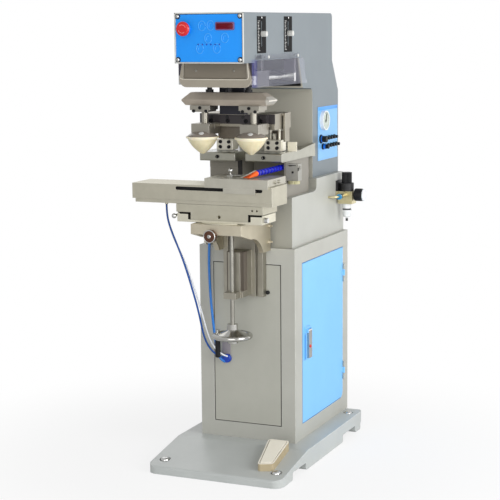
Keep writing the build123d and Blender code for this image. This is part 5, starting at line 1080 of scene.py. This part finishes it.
def add_nozzle_lip():
    """Thin steel lip over the nozzle, wider at its toe."""
    heel, toe = Vector((106.0, -166.0, 922.5)), Vector((68.0, -190.0, 901.0))
    half_width, half_thickness, toe_share = 6.5, 0.6, 1.3
    aside = (toe - heel).cross(Vector(upward)).normalized() * half_width
    rise = aside.cross(toe - heel).normalized() * half_thickness
    corners = [heel + aside, heel - aside, toe - aside * toe_share, toe + aside * toe_share]
    mesh = bmesh.new()
    skin(mesh, [[mesh.verts.new(mm(corner + rise * side)) for corner in corners] for side in (-1, 1)])
    make("nozzle_lip", mesh, "frame", "pale_alloy")


def add_nozzle():
    """Segmented hose with its orange mouth and steel lip."""
    start, end = Vector((109.0, 109.6, 913.0)), Vector((101.0, -150.0, 911.0))
    tip = Vector((84.0, -188.0, 901.5))
    add_nozzle_hose(start, end)
    add_nozzle_mouth(end, tip)
    add_nozzle_lip()


def add_knee_knob_rim():
    """Bright ring with a spoke on the knee's clamp knob, and the cap in its middle."""
    x, z = -15, 730
    ring_y, ring_radius, ring_line, ring_turn = -235.6, 17.9, 1.7, (0, 350)
    spoke_end = (2.9, ring_y, z)
    cap = [(0, 0), (6.0, 0), (6.0, 1.6), (4.6, 3.2), (0, 3.8)]
    cap_place = (x, -236.6, z)
    mesh = bmesh.new()
    put_tube(mesh, arc((x, ring_y, z), ring_radius, *ring_turn, 40) + [spoke_end], ring_line, 10)
    put_turned(mesh, cap, cap_place, forward, 28)
    make("knee_knob_rim", mesh, "knee_knob", "polished_steel")


def add_slide_wipers():
    """Black L-shaped gaps at the gibs on the front of the lower slide."""
    front, back, bevel = -197.7, -196.8, 0.2
    low, step_low, high = 773, 788.4, 793.7
    inner, gap_outer = 93.3, 101
    mesh = bmesh.new()
    for side, step_outer in ((-1, 129), (1, 137)):
        for outer, bottom in ((gap_outer, low), (step_outer, step_low)):
            left, right = sorted((side * inner, side * outer))
            put_box(mesh, (left, front, bottom), (right, back, high), bevel)
    make("slide_wipers", mesh, "lower_slide", "wiper_rubber")


def add_small_parts():
    """Door lock's red button, plate under the hose ends, and black case of the regulator's gauge."""
    button = [(0, 0), (5.2, 0), (5.2, 1.4), (4.2, 2.4), (0, 2.8)]
    button_place = (171.2, 98, 349)
    plate_low, plate_high, plate_bevel = (-84, -5.5, 326), (-56, -1.6, 367), 1.0
    case = [(0, 0), (19, 0), (20.6, 1.2), (20.6, 21), (20.2, 22), (18.6, 22), (18.6, 21), (0, 21)]
    case_inset, case_y, case_z = 30.6, 420, 790.5
    gauge_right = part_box("pressure_gauges")[1].x * 1000
    case_place = (gauge_right - case_inset, case_y, case_z)
    turned("door_lock_button", button, [button_place], rightward, 28, "door_handle",
           "red_abs")
    add_slide_wipers()
    mesh = bmesh.new()
    put_box(mesh, plate_low, plate_high, plate_bevel)
    make("hose_plate", mesh, "frame", "plate_grey")
    turned("regulator_gauge_case", case, [case_place], rightward, 48, "frame", "black_abs")


def add_details():
    """All pieces that the frame does not have."""
    add_panel_screws()
    add_panel_rim()
    add_display()
    add_keys()
    add_estop()
    add_chin_trim()
    add_stroke_scales()
    add_tooling_details()
    add_pad_backings()
    add_air_panel()
    add_air_fittings()
    add_nozzle()
    add_knee_knob_rim()
    add_small_parts()


paint_parts()
dress_nodes()
add_details()
add_hoses()
add_camera()
add_studio()
